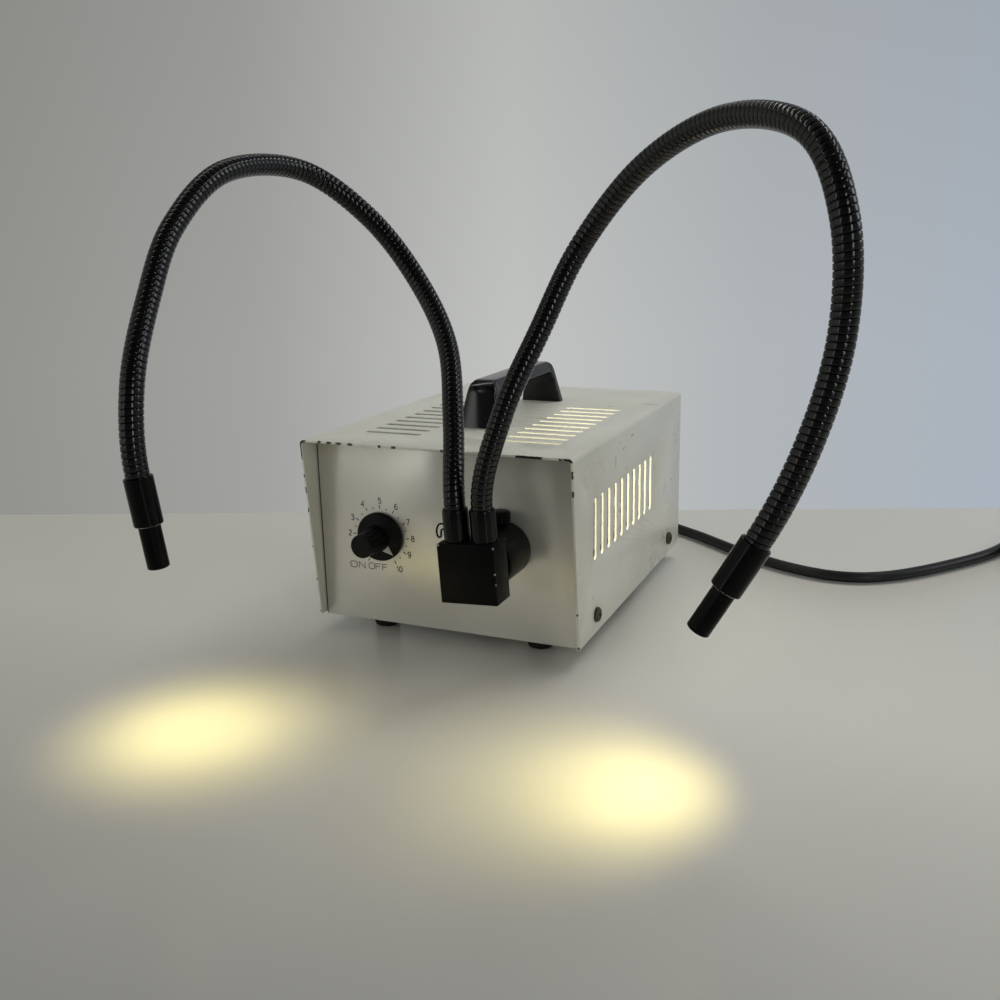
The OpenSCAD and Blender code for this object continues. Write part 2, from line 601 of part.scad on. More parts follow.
// ---------- mains lead ----------
module strain_relief() {
    color([0.06, 0.06, 0.06]) difference() {
        union() {
            cy(gland_x, gland_z, yb - 8, yb - 3, 8.5);
            cy(gland_x, gland_z, yb - 8, yb - 1.5, 6);
            cy(gland_x, gland_z, yb - 1.5, yb + 1.5, 8.5);
            turned_y(gland_x, gland_z, yb + 30)
                polygon([[0, 0], [4.7, 0], [6.6, 28.6], [0, 28.6]]);
        }
        cy(gland_x, gland_z, yb - 9, yb + 31, lead_r);
    }
}
module mains_lead_run() {
    color([0.05, 0.05, 0.05])
        solid_sweep(route_stations(lead_route, lead_r, [0, 1, 0], unit([5, 14, 0])), [0.02, 0.01, 1], 10);
}
module mains_lead_coil() {
    color([0.05, 0.05, 0.05]) translate([coil_c[0], coil_c[1], 0]) rotate_extrude()
        polygon([[coil_in, 1.5], [coil_in + 1.5, 0], [coil_out - 1.5, 0], [coil_out, 1.5],
            [coil_out, coil_h - 1.5], [coil_out - 1.5, coil_h], [coil_in + 1.5, coil_h], [coil_in, coil_h - 1.5]]);
}
module mains_lead_tail() {
    color([0.05, 0.05, 0.05])
        solid_sweep(route_stations(tail_route, lead_r, unit([12, 1, 0]), [1, 0, 0]), [0.02, 0.01, 1], 10);
}
module plug_body() {
    color([0.05, 0.05, 0.05]) difference() {
        translate([plug_x, plug_y, plug_z]) rotate([0, 90, 0]) rotate_extrude()
            polygon([[0, 0], [5.2, 0], [6.8, 16], [13, 24], [17.5, 30], [18.6, 32], [19, 36], [19, 52],
                [18, 53], [0, 53]]);
        // earth clips' side grooves
        for (s = [-1, 1]) bx([plug_x + 37, plug_y - 3.5, plug_z + s * 19 - 2.2],
            [plug_x + 54, plug_y + 3.5, plug_z + s * 19 + 2.2]);
        for (s = [-1, 1]) cx(plug_y + s * 9.5, plug_z, plug_x + 40, plug_x + 54, 2.4);
        cx(plug_y, plug_z, plug_x - 1, plug_x + 2.2, lead_r);
    }
}
module plug_pins() {
    color([0.75, 0.65, 0.35]) for (s = [-1, 1]) union() {
        cx(plug_y + s * 9.5, plug_z, plug_x + 40, plug_x + 71, 2.4);
        translate([plug_x + 71, plug_y + s * 9.5, plug_z]) rotate([0, 90, 0]) cylinder(r1 = 2.4, r2 = 1.5, h = 1);
    }
}

// ---------- light guide ----------
module guide_ferrule() {
    color([0.55, 0.55, 0.57]) difference() {
        union() {
            cy(lx, lz, blk_y - 4, blk_y + 0.1, 8);
            cy(lx, lz, blk_y + 0.05, -87, ferrule_r);
        }
        cy(lx, lz, blk_y - 5, -86, 6);
    }
}
module fibre_trunk() {
    color([0.9, 0.9, 0.8]) cy(lx, lz, blk_y - 3.9, -87.1, 5.9);
}
// Children are drawn in the block's own axes, rolled about the port's axis
module rolled() { translate([lx, 0, lz]) rotate([0, -block_roll, 0]) children(); }
module guide_block() {
    h = block_w / 2;
    color([0.03, 0.03, 0.03]) rolled() difference() {
        bx([-h, blk_y - block_d, -h], [h, blk_y, h]);
        cy(0, 0, blk_y - 4.1, blk_y + 1, 8.05);
        cy(0, 0, blk_y - 12.5, blk_y - 4.1, 11);
        for (s = [-1, 1]) cz(s * arm_dx, arm_y, 6, h + 1, 3.45);
    }
}
module arm_collars() {
    h = block_w / 2;
    color([0.03, 0.03, 0.03]) rolled() for (s = [-1, 1]) difference() {
        cz(s * arm_dx, arm_y, h, h + 16.5, 6.6);
        cz(s * arm_dx, arm_y, h - 1, h + 17, 3.6);
        cz(s * arm_dx, arm_y, h + 8.4, h + 17, hose_r + 0.1);
    }
}
module wire_clip() {
    // a loop of thin wire standing out of the left collar
    p = [[21.6, 83], [20, 83.8], [18.2, 83.6], [17, 82], [16.5, 79.8], [16.8, 77.6], [17.7, 76.6],
        [18.7, 77], [19, 78.5], [19.1, 80.2], [20, 81.1], [21.8, 80.6]];
    color([0.03, 0.03, 0.03]) solid_sweep(route_stations([for (q = p) [q[0], arm_y, q[1]]], 0.5,
        unit([-2, 0, 0.9]), [1, 0, 0]), [0, 1, 0], 8);
}
module fibre_split() {
    color([0.9, 0.9, 0.8]) {
        rolled() cy(0, 0, blk_y - 12.3, blk_y - 4.5, 10.8);
        fibres(arm_left, 0, up, tip_dir_left, ref_left);
        fibres(arm_right, 0, up, tip_dir_right, ref_right);
    }
}
module left_hose(s) { color([0.04, 0.04, 0.045]) hose(arm_left, s, up, tip_dir_left, ref_left); }
module right_hose(s) { color([0.04, 0.04, 0.045]) hose(arm_right, s, up, tip_dir_right, ref_right); }
module left_fibres(s) { color([0.9, 0.9, 0.8]) fibres(arm_left, s, up, tip_dir_left, ref_left); }
module right_fibres(s) { color([0.9, 0.9, 0.8]) fibres(arm_right, s, up, tip_dir_right, ref_right); }
module end_sleeve(p, d) {
    color([0.03, 0.03, 0.03]) along(p, d) difference() {
        union() {
            cylinder(r1 = sleeve_r - 0.6, r2 = sleeve_r, h = 0.6);
            translate([0, 0, 0.6]) cylinder(r = sleeve_r, h = sleeve_l - 1.2);
            translate([0, 0, sleeve_l - 0.6]) cylinder(r1 = sleeve_r, r2 = sleeve_r - 0.6, h = 0.6);
        }
        translate([0, 0, -1]) cylinder(r = hose_r, h = 9);
        translate([0, 0, 7]) cylinder(r = bore_r, h = 10);
        translate([0, 0, 14]) cylinder(r = tip_r - 0.2, h = 10);
    }
}
module tip(p, d) {
    color([0.05, 0.05, 0.05]) along(p, d) difference() {
        union() {
            translate([0, 0, 14]) cylinder(r = tip_r - 0.2, h = sleeve_l - 13.9);
            translate([0, 0, sleeve_l]) cylinder(r = tip_r, h = tip_l);
        }
        translate([0, 0, 13]) cylinder(r = bore_r, h = sleeve_l + tip_l);
    }
}

cover();
chassis();
front_panel();
rear_panel();
m4_screws();
feet();
handle();
port_hub();
panel_nuts();
pot_body();
pot_shaft();
knob();
dimmer_board();
transformer_core();
transformer_winding();
transformer_bracket();
heat_shield();
lamp_reflector();
lamp_bulb();
lamp_socket();
lamp_bracket();
filter_holder();
heat_filter();
fan_frame();
fan_rotor();
fan_guard();
fuse_holder();
fuse_cap();
terminal_block();
strain_relief();
mains_lead_run();
mains_lead_coil();
mains_lead_tail();
plug_body();
plug_pins();
clamp_screw();
guide_ferrule();
fibre_trunk();
guide_block();
arm_collars();
wire_clip();
fibre_split();
left_hose(0);  // hose_l1
left_hose(1);  // hose_l2
left_hose(2);  // hose_l3
left_hose(3);  // hose_l4
right_hose(0);  // hose_r1
right_hose(1);  // hose_r2
right_hose(2);  // hose_r3
right_hose(3);  // hose_r4
left_fibres(1);  // fibres_l2
left_fibres(2);  // fibres_l3
left_fibres(3);  // fibres_l4
right_fibres(1);  // fibres_r2
right_fibres(2);  // fibres_r3
right_fibres(3);  // fibres_r4
end_sleeve(arm_left[10], tip_dir_left);  // end_sleeve_l
end_sleeve(arm_right[10], tip_dir_right);  // end_sleeve_r
tip(arm_left[10], tip_dir_left);  // tip_l
tip(arm_right[10], tip_dir_right);  // tip_r
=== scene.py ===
import bpy, bmesh, math, json
import numpy as np
from mathutils import Vector, Matrix

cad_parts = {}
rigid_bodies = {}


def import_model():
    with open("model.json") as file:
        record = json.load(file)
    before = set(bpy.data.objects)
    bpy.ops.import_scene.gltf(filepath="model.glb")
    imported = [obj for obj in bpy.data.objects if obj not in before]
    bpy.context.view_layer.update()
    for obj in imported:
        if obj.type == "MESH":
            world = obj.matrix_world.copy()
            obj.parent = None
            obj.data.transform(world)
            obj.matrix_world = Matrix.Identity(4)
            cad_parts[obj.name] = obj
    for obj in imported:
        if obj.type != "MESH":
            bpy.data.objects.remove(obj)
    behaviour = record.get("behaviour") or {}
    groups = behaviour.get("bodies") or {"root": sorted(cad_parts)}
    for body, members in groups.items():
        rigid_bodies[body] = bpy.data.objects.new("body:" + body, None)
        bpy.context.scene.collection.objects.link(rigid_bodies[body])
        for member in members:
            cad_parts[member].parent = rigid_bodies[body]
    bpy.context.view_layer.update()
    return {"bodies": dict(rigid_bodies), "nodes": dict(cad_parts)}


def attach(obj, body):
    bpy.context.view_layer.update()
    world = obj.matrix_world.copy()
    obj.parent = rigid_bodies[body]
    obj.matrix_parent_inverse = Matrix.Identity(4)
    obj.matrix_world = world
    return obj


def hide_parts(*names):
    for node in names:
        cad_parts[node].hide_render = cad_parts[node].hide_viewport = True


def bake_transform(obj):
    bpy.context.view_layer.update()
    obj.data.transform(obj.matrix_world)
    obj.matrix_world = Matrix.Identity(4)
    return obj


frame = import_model()
NODES = frame["nodes"]
BODIES = frame["bodies"]


MM = 0.001
scene = bpy.context.scene

# ------------------------------------------------------------------ camera
cam_data = bpy.data.cameras.new("camera")
cam_data.sensor_width = 36.0
cam_data.sensor_fit = "HORIZONTAL"
cam_data.lens = 38.091
cam_data.clip_start = 0.01
cam_data.clip_end = 20.0
cam = bpy.data.objects.new("camera", cam_data)
scene.collection.objects.link(cam)
cam.matrix_world = Matrix((
    (0.91750756, -0.08294322, 0.3889734, 0.252035),
    (0.39714879, 0.24339228, -0.88489154, -0.590632),
    (-0.02127737, 0.96637499, 0.25625505, 0.230898),
    (0.0, 0.0, 0.0, 1.0)))
scene.camera = cam


# ------------------------------------------------------------------ mesh help
def make(name, verts, faces, angle=32.0, weld=True):
    me = bpy.data.meshes.new(name)
    me.from_pydata([tuple(float(c) for c in v) for v in verts], [], [tuple(f) for f in faces])
    bm = bmesh.new()
    bm.from_mesh(me)
    if weld:
        bmesh.ops.remove_doubles(bm, verts=bm.verts, dist=2e-6)
        bmesh.ops.dissolve_degenerate(bm, dist=2e-6, edges=bm.edges)
    bmesh.ops.recalc_face_normals(bm, faces=bm.faces)
    bm.to_mesh(me)
    bm.free()
    ob = bpy.data.objects.new(name, me)
    scene.collection.objects.link(ob)
    shade(ob, angle)
    return ob


def shade(ob, angle=32.0):
    me = ob.data
    me.shade_smooth()
    me.set_sharp_from_angle(angle=math.radians(angle))


def join(name, objs):
    bm = bmesh.new()
    mats = []
    for o in objs:
        n0 = len(bm.faces)
        bm.from_mesh(o.data)
        bm.faces.ensure_lookup_table()
        table = []
        for m in o.data.materials:
            if m not in mats:
                mats.append(m)
            table.append(mats.index(m))
        for f in list(bm.faces)[n0:]:
            f.material_index = table[f.material_index] if table else 0
        bpy.data.objects.remove(o)
    me = bpy.data.meshes.new(name)
    bm.to_mesh(me)
    bm.free()
    for m in mats:
        me.materials.append(m)
    ob = bpy.data.objects.new(name, me)
    scene.collection.objects.link(ob)
    return ob


def basis(axis):
    w = Vector(axis).normalized()
    ref = Vector((0, 0, 1)) if abs(w.z) < 0.9 else Vector((1, 0, 0))
    u = ref.cross(w).normalized()
    return u, w.cross(u), w


def lathe(name, profile, centre, axis, seg=64, angle=32.0, wobble=None):
    """profile: (radius, height) in mm along axis from centre (mm). Closed unless it ends on the axis."""
    u, v, w = basis(axis)
    c = Vector(centre) * MM
    verts, faces, rows = [], [], []
    for r, h in profile:
        if r <= 1e-6:
            rows.append([len(verts)])
            verts.append(c + w * h * MM)
            continue
        row = []
        for k in range(seg):
            t = 2 * math.pi * k / seg
            rr = r if wobble is None else wobble(r, h, t)
            row.append(len(verts))
            verts.append(c + w * h * MM + (u * math.cos(t) + v * math.sin(t)) * rr * MM)
        rows.append(row)
    on_axis = len(rows[0]) == 1 and len(rows[-1]) == 1
    pairs = list(zip(rows, rows[1:])) + ([] if on_axis else [(rows[-1], rows[0])])
    for a, b in pairs:
        for k in range(seg):
            k2 = (k + 1) % seg
            if len(a) == 1 and len(b) == 1:
                continue
            if len(a) == 1:
                faces.append((a[0], b[k2], b[k]))
            elif len(b) == 1:
                faces.append((a[k], a[k2], b[0]))
            else:
                faces.append((a[k], a[k2], b[k2], b[k]))
    return make(name, verts, faces, angle)


def bevel_box(name, lo, hi, width, segments=3, angle=40.0):
    bm = bmesh.new()
    bmesh.ops.create_cube(bm, size=1.0)
    for v in bm.verts:
        v.co = Vector([(lo[i] + (v.co[i] + 0.5) * (hi[i] - lo[i])) * MM for i in range(3)])
    bmesh.ops.bevel(bm, geom=list(bm.edges), offset=width * MM, segments=segments, affect="EDGES", profile=0.5)
    me = bpy.data.meshes.new(name)
    bmesh.ops.recalc_face_normals(bm, faces=bm.faces)
    bm.to_mesh(me)
    bm.free()
    ob = bpy.data.objects.new(name, me)
    scene.collection.objects.link(ob)
    shade(ob, angle)
    return ob


def prism(name, outline, place, depth, angle=32.0):
    """outline: 2-D points; place(p, t) gives the 3-D point in mm for t in (0, depth)."""
    n = len(outline)
    verts = [Vector(place(p, 0.0)) * MM for p in outline] + [Vector(place(p, depth)) * MM for p in outline]
    faces = [tuple(range(n - 1, -1, -1)), tuple(range(n, 2 * n))]
    faces += [(i, (i + 1) % n, n + (i + 1) % n, n + i) for i in range(n)]
    return make(name, verts, faces, angle)


def evaluated(ob):
    bpy.context.view_layer.update()
    dg = bpy.context.evaluated_depsgraph_get()
    me = bpy.data.meshes.new_from_object(ob.evaluated_get(dg), preserve_all_data_layers=True, depsgraph=dg)
    ob.modifiers.clear()
    old = ob.data
    ob.data = me
    bpy.data.meshes.remove(old)
    return ob


def cut(ob, cutters, solver="EXACT"):
    tool = join("cutter", cutters)
    m = ob.modifiers.new("cut", "BOOLEAN")
    m.operation = "DIFFERENCE"
    m.solver = solver
    m.object = tool
    evaluated(ob)
    bpy.data.objects.remove(tool)
    return ob


def bevel(ob, width, segments=2, limit=40.0, angle=32.0):
    m = ob.modifiers.new("bevel", "BEVEL")
    m.width = width * MM
    m.segments = segments
    m.limit_method = "ANGLE"
    m.angle_limit = math.radians(limit)
    m.use_clamp_overlap = True
    evaluated(ob)
    bm = bmesh.new()
    bm.from_mesh(ob.data)
    bmesh.ops.remove_doubles(bm, verts=bm.verts, dist=1e-6)
    bm.to_mesh(ob.data)
    bm.free()
    shade(ob, angle)
    return ob


def piece(ob, body, material, replaces=()):
    if material is not None:
        ob.data.materials.clear()
        ob.data.materials.append(material)
    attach(ob, body)
    if replaces:
        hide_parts(*replaces)
    return ob


# ------------------------------------------------------------------ materials
class Nodes:
    def __init__(self, name):
        self.mat = bpy.data.materials.new(name)
        self.mat.use_nodes = True
        self.t = self.mat.node_tree
        self.bsdf = next(n for n in self.t.nodes if n.type == "BSDF_PRINCIPLED")
        self.coord = self.t.nodes.new("ShaderNodeTexCoord")

    def new(self, kind, **props):
        n = self.t.nodes.new("ShaderNode" + kind)
        for k, v in props.items():
            setattr(n, k, v)
        return n

    def link(self, a, b):
        self.t.links.new(a, b)

    def value(self, socket, x):
        if isinstance(x, (int, float)):
            socket.default_value = x
        else:
            self.link(x, socket)

    def math(self, op, a, b=0.0, c=None, clamp=False):
        n = self.new("Math", operation=op, use_clamp=clamp)
        self.value(n.inputs[0], a)
        self.value(n.inputs[1], b)
        if c is not None:
            self.value(n.inputs[2], c)
        return n.outputs[0]

    def noise(self, scale, detail=4.0, rough=0.55, stretch=None, distortion=0.0):
        n = self.new("TexNoise")
        n.inputs["Scale"].default_value = scale
        n.inputs["Detail"].default_value = detail
        n.inputs["Roughness"].default_value = rough
        n.inputs["Distortion"].default_value = distortion
        src = self.coord.outputs["Object"]
        if stretch:
            mp = self.new("Mapping")
            mp.inputs["Scale"].default_value = stretch
            self.link(src, mp.inputs["Vector"])
            src = mp.outputs["Vector"]
        self.link(src, n.inputs["Vector"])
        return n.outputs["Fac"]

    def ramp(self, fac, stops):
        n = self.new("ValToRGB")
        el = n.color_ramp.elements
        while len(el) < len(stops):
            el.new(0.5)
        for e, (p, c) in zip(el, stops):
            e.position = p
            e.color = (*c, 1.0) if len(c) == 3 else c
        self.link(fac, n.inputs[0])
        return n.outputs["Color"]

    def mix(self, fac, a, b):
        n = self.new("Mix", data_type="RGBA")
        self.value(n.inputs["Factor"], fac)
        for socket, x in ((n.inputs[6], a), (n.inputs[7], b)):
            if isinstance(x, tuple):
                socket.default_value = (*x, 1.0) if len(x) == 3 else x
            else:
                self.link(x, socket)
        return n.outputs[2]

    def span(self, x, lo, hi, to_lo, to_hi):
        n = self.new("MapRange")
        self.value(n.inputs[0], x)
        for i, v in enumerate((lo, hi, to_lo, to_hi)):
            n.inputs[i + 1].default_value = v
        return n.outputs[0]

    def xyz(self):
        n = self.new("SeparateXYZ")
        self.link(self.coord.outputs["Object"], n.inputs[0])
        return n.outputs

    def bump(self, height, strength, distance):
        n = self.new("Bump")
        n.inputs["Strength"].default_value = strength
        n.inputs["Distance"].default_value = distance
        self.link(height, n.inputs["Height"])
        self.link(n.outputs[0], self.bsdf.inputs["Normal"])

    def set(self, **kv):
        for k, v in kv.items():
            s = self.bsdf.inputs[k.replace("_", " ")]
            if isinstance(v, tuple):
                s.default_value = (*v, 1.0) if len(v) == 3 else v
            elif isinstance(v, (int, float)):
                s.default_value = v
            else:
                self.link(v, s)
        return self


def plain(name, a, b, rough, metallic=0.0, scale=60.0, bump=0.1, bump_scale=900.0, coat=0.0,
          rough_span=0.06, stretch=None, detail=5.0, spec=0.5):
    """A two-tone material: colour and gloss drift by noise, with a fine surface grain."""
    n = Nodes(name)
    n.set(Base_Color=n.ramp(n.noise(scale, detail, stretch=stretch), [(0.3, a), (0.7, b)]), Metallic=metallic,
          Roughness=n.span(n.noise(scale * 2.3, 3.0, stretch=stretch), 0.3, 0.7, rough - rough_span, rough + rough_span))
    n.set(Specular_IOR_Level=spec)
    if coat:
        n.set(Coat_Weight=coat, Coat_Roughness=0.08)
    n.bump(n.noise(bump_scale, 3.0, stretch=stretch), bump, 0.0002)
    return n.mat


GAP_X = -0.0778
CHIPS_X = [(-80.0, -76.8), (-68.9, -67.0), (-63.0, -60.1), (-57.2, -53.6), (-49.8, -46.5), (-31.0, -28.5), (-22.4, -19.9),
           (6.5, 7.9), (48.9, 63.9), (72.6, 80.0)]
CHIPS_LEFT = [(11.0, 12.6), (31.2, 32.6), (51.8, 53.0), (73.0, 75.5), (84.6, 88.0), (93.6, 95.4), (104.0, 115.5)]
CHIPS_RIGHT = [(10.0, 12.0), (29.5, 31.0), (95.5, 98.5), (105.0, 109.0)]


def marks_along(n, coord, spans, lo, hi):
    """1 inside the listed spans (mm) of a coordinate given in metres, 0 elsewhere."""
    stops = [(0.0, (0.0, 0.0, 0.0))]
    for a, b in spans:
        stops += [((a - lo) / (hi - lo), (1.0, 1.0, 1.0)), ((b - lo) / (hi - lo), (0.0, 0.0, 0.0))]
    out = n.ramp(n.span(coord, lo * MM, hi * MM, 0.0, 1.0), stops)
    out.node.color_ramp.interpolation = "CONSTANT"
    return out


def paint_material():
    n = Nodes("cream_paint")
    x, y, z = n.xyz()
    base = n.ramp(n.noise(9.0, 5.0), [(0.3, (0.600, 0.600, 0.520)), (0.72, (0.655, 0.655, 0.580))])
    # darker brownish colour in soft noise patches, strongest at the bottom and fading upwards
    low_patches = n.math("MULTIPLY", n.span(n.noise(22.0, 6.0, 0.6), 0.45, 0.75, 0.0, 0.35), n.span(z, 0.0, 0.115, 1.0, 0.35))
    base = n.mix(low_patches, base, (0.43, 0.41, 0.33))
    # chipped paint on the cut front edges of the bent sheet
    lean = n.math("MULTIPLY", n.math("MAXIMUM", n.math("SUBTRACT", 0.1143, z), 0.0), 0.0892)
    edge = n.math("SUBTRACT", n.math("ADD", y, 0.109), lean)
    wobble = n.noise(520.0, 3.0, 0.6)
    wx = n.math("ADD", x, n.math("MULTIPLY", n.math("SUBTRACT", wobble, 0.5), 0.0022))
    wz = n.math("ADD", z, n.math("MULTIPLY", n.math("SUBTRACT", wobble, 0.5), 0.0022))
    depth = n.math("LESS_THAN", edge, n.math("MULTIPLY", n.math("SUBTRACT", n.noise(620.0, 3.0, 0.6), 0.36), 0.0042))
    up = n.math("GREATER_THAN", z, 0.1135)
    top_marks = n.math("MULTIPLY", marks_along(n, wx, CHIPS_X, -81.0, 81.0), up)
    side = n.math("SUBTRACT", 1.0, up)
    left = n.math("MULTIPLY", n.math("MULTIPLY", marks_along(n, wz, CHIPS_LEFT, 0.0, 116.0), n.math("LESS_THAN", x, -0.0792)), 1.0)
    right = n.math("MULTIPLY", marks_along(n, wz, CHIPS_RIGHT, 0.0, 116.0), n.math("MULTIPLY", side, n.math("GREATER_THAN", x, 0.079)))
    chips_and_slot_shade = n.math("MULTIPLY", depth, n.math("MAXIMUM", top_marks, n.math("MAXIMUM", left, right)))
    # painted shade: a dark mark at the front edge of each slot in the right side, a little above its lower end,
    # standing in for the shade inside the slot
    beat = n.math("SUBTRACT", n.math("FRACT", n.math("DIVIDE", n.math("ADD", y, 0.0820), 0.012)), 0.5)
    spot_y = n.math("MULTIPLY", n.math("SUBTRACT", n.math("MULTIPLY", beat, 0.012), 0.0), 1.0)
    near = n.math("LESS_THAN", n.math("ADD", n.math("ABSOLUTE", n.math("ADD", spot_y, 0.0001)), n.math("MULTIPLY", wobble, 0.0016)), 0.0016)
    low = n.math("LESS_THAN", n.math("ADD", n.math("ABSOLUTE", n.math("SUBTRACT", z, 0.0570)), n.math("MULTIPLY", wobble, 0.0022)), 0.0030)
    run = n.math("MULTIPLY", n.math("GREATER_THAN", y, -0.0785), n.math("LESS_THAN", y, 0.0365))
    slot_shade_mark = n.math("MULTIPLY", n.math("MULTIPLY", near, low), n.math("MULTIPLY", run, n.math("GREATER_THAN", x, 0.0786)))
    chips_and_slot_shade = n.math("MAXIMUM", chips_and_slot_shade, slot_shade_mark)
    # short scratches and marks high on the right side and at the rear of the top
    for (cx, cy, cz), (rx, ry, rz), weight in (((0.080, -0.0375, 0.0985), (0.002, 0.0007, 0.0042), 0.8), ((0.080, -0.0225, 0.1035), (0.002, 0.0022, 0.0008), 0.6),
                                               ((0.080, -0.0060, 0.1080), (0.002, 0.0030, 0.0007), 0.7), ((0.080, -0.0300, 0.1080), (0.002, 0.0012, 0.0007), 0.5),
                                               ((0.0735, 0.0560, 0.1155), (0.0060, 0.0030, 0.003), 0.35), ((0.080, -0.0160, 0.0900), (0.002, 0.0008, 0.0012), 0.4)):
        dx = n.math("DIVIDE", n.math("SUBTRACT", x, cx), rx)
        dy = n.math("DIVIDE", n.math("SUBTRACT", y, cy), ry)
        dz = n.math("DIVIDE", n.math("SUBTRACT", z, cz), rz)
        d2 = n.math("ADD", n.math("ADD", n.math("MULTIPLY", dx, dx), n.math("MULTIPLY", dy, dy)), n.math("MULTIPLY", dz, dz))
        d2 = n.math("ADD", d2, n.math("MULTIPLY", n.math("SUBTRACT", wobble, 0.5), 3.0))
        base = n.mix(n.math("MULTIPLY", n.math("LESS_THAN", d2, 0.8), weight), base, (0.11, 0.105, 0.09))
    # the dark colour goes on the real paint chips and, as painted shade, on the marks at the side slots
    base = n.mix(chips_and_slot_shade, base, (0.016, 0.013, 0.011))
    n.set(Base_Color=base, Roughness=n.span(n.noise(35.0, 4.0), 0.3, 0.7, 0.26, 0.36), Specular_IOR_Level=0.5)
    h = n.math("ADD", n.math("MULTIPLY", n.noise(1400.0, 2.0), 0.25), n.math("MULTIPLY", chips_and_slot_shade, -1.0))
    n.bump(h, 0.25, 0.0001)
    return n.mat


def panel_material():
    n = Nodes("satin_panel")
    tone = n.ramp(n.noise(14.0, 1.0), [(0.3, (0.665, 0.657, 0.590)), (0.7, (0.700, 0.692, 0.625))])
    x, y, z = n.xyz()
    # painted shade: a dark strip on the panel along the left flange stands in for the shade in the gap between flange
    # and panel
    gap_shade_strip = n.math("MULTIPLY", n.math("LESS_THAN", x, GAP_X), n.math("LESS_THAN", y, -0.085))
    tone = n.mix(gap_shade_strip, tone, (0.03, 0.03, 0.027))
    n.set(Base_Color=tone, Metallic=0.52, Roughness=0.25)
    n.bump(n.noise(900.0, 2.0), 0.015, 0.0001)
    return n.mat


def steel_material(name, a, b, rough):
    n = Nodes(name)
    grain = n.noise(500.0, 4.0, 0.6, stretch=(1.0, 0.12, 1.0))
    spots = n.noise(60.0, 4.0)
    n.set(Base_Color=n.mix(n.span(grain, 0.3, 0.7, 0.0, 0.4), n.ramp(spots, [(0.3, a), (0.7, b)]), b), Metallic=1.0,
          Roughness=n.span(grain, 0.2, 0.8, rough - 0.06, rough + 0.08))
    n.bump(grain, 0.08, 0.0001)
    return n.mat


def block_material():
    """Satin black paint on metal with small bare nicks along the block's front right edge."""
    n = Nodes("block_paint")
    base = n.ramp(n.noise(90.0, 4.0), [(0.3, (0.0022, 0.0022, 0.0024)), (0.7, (0.0040, 0.0040, 0.0042))])
    rag = n.math("MULTIPLY", n.math("SUBTRACT", n.noise(1100.0, 2.0), 0.5), 0.0011)
    nick = None
    for spot, size in (((0.05085, -0.1428, 0.0762), 0.0006), ((0.0516, -0.1428, 0.0630), 0.0005), ((0.05215, -0.1428, 0.0577), 0.0005),
                       ((0.0209, -0.1427, 0.0752), 0.0006), ((0.0512, -0.1270, 0.0772), 0.0006)):
        d = n.new("VectorMath", operation="DISTANCE")
        n.link(n.coord.outputs["Object"], d.inputs[0])
        d.inputs[1].default_value = spot
        hit = n.math("LESS_THAN", n.math("ADD", d.outputs["Value"], rag), size)
        nick = hit if nick is None else n.math("MAXIMUM", nick, hit)
    base = n.mix(nick, base, (0.30, 0.29, 0.27))
    n.set(Base_Color=base, Roughness=n.span(n.noise(160.0, 4.0), 0.3, 0.7, 0.30, 0.40), Specular_IOR_Level=0.07)
    n.bump(n.noise(1500.0, 3.0), 0.12, 0.0001)
    return n.mat


M = {}
M["paint"] = paint_material()
M["panel"] = panel_material()
M["plated"] = steel_material("plated_steel", (0.50, 0.50, 0.49), (0.66, 0.66, 0.64), 0.34)
M["screw"] = steel_material("oxidised_screw", (0.045, 0.037, 0.026), (0.12, 0.10, 0.07), 0.50)
M["bright"] = steel_material("bright_metal", (0.62, 0.62, 0.62), (0.78, 0.78, 0.78), 0.22)
M["chrome"] = steel_material("guard_wire", (0.70, 0.70, 0.70), (0.82, 0.82, 0.82), 0.14)
M["rubber"] = plain("foot_rubber", (0.006, 0.006, 0.006), (0.012, 0.012, 0.012), 0.72, bump=0.3, spec=0.3)
M["gloss_black"] = plain("handle_black", (0.0014, 0.0016, 0.0020), (0.0026, 0.0030, 0.0036), 0.11, scale=30, bump=0.02, rough_span=0.02, spec=0.42)
M["port"] = plain("port_black", (0.0030, 0.0030, 0.0032), (0.0052, 0.0052, 0.0054), 0.36, scale=110, bump=0.10, spec=0.09)
M["block"] = block_material()
M["collar"] = plain("collar_black", (0.0014, 0.0014, 0.0016), (0.0028, 0.0028, 0.0030), 0.20, scale=120, bump=0.05, spec=0.22)
M["knob"] = plain("knob_black", (0.0036, 0.0037, 0.0038), (0.0062, 0.0064, 0.0066), 0.42, scale=140, bump=0.14, spec=0.12)
M["hose"] = plain("hose_sheath", (0.0012, 0.0013, 0.0015), (0.0024, 0.0025, 0.0028), 0.17, scale=90, bump=0.03, rough_span=0.05, spec=0.42)
M["sleeve"] = plain("sleeve_black", (0.0010, 0.0010, 0.0012), (0.0020, 0.0020, 0.0022), 0.18, scale=120, bump=0.03, spec=0.13)
M["tip"] = plain("tip_black", (0.0020, 0.0020, 0.0021), (0.0036, 0.0036, 0.0038), 0.26, scale=120, bump=0.05, spec=0.08)
M["rim"] = steel_material("worn_rim", (0.34, 0.33, 0.31), (0.52, 0.50, 0.47), 0.25)
M["cord"] = plain("cord_pvc", (0.0055, 0.0058, 0.0066), (0.0090, 0.0096, 0.0110), 0.42, scale=70, bump=0.10, spec=0.35)
M["plug"] = plain("plug_moulded", (0.006, 0.006, 0.0065), (0.011, 0.011, 0.012), 0.38, scale=90, bump=0.15, spec=0.35)
M["brass"] = steel_material("plated_pin", (0.60, 0.52, 0.36), (0.74, 0.66, 0.48), 0.25)
M["ink"] = plain("printed_black", (0.008, 0.008, 0.009), (0.018, 0.018, 0.019), 0.5, scale=200, bump=0.02, spec=0.25)
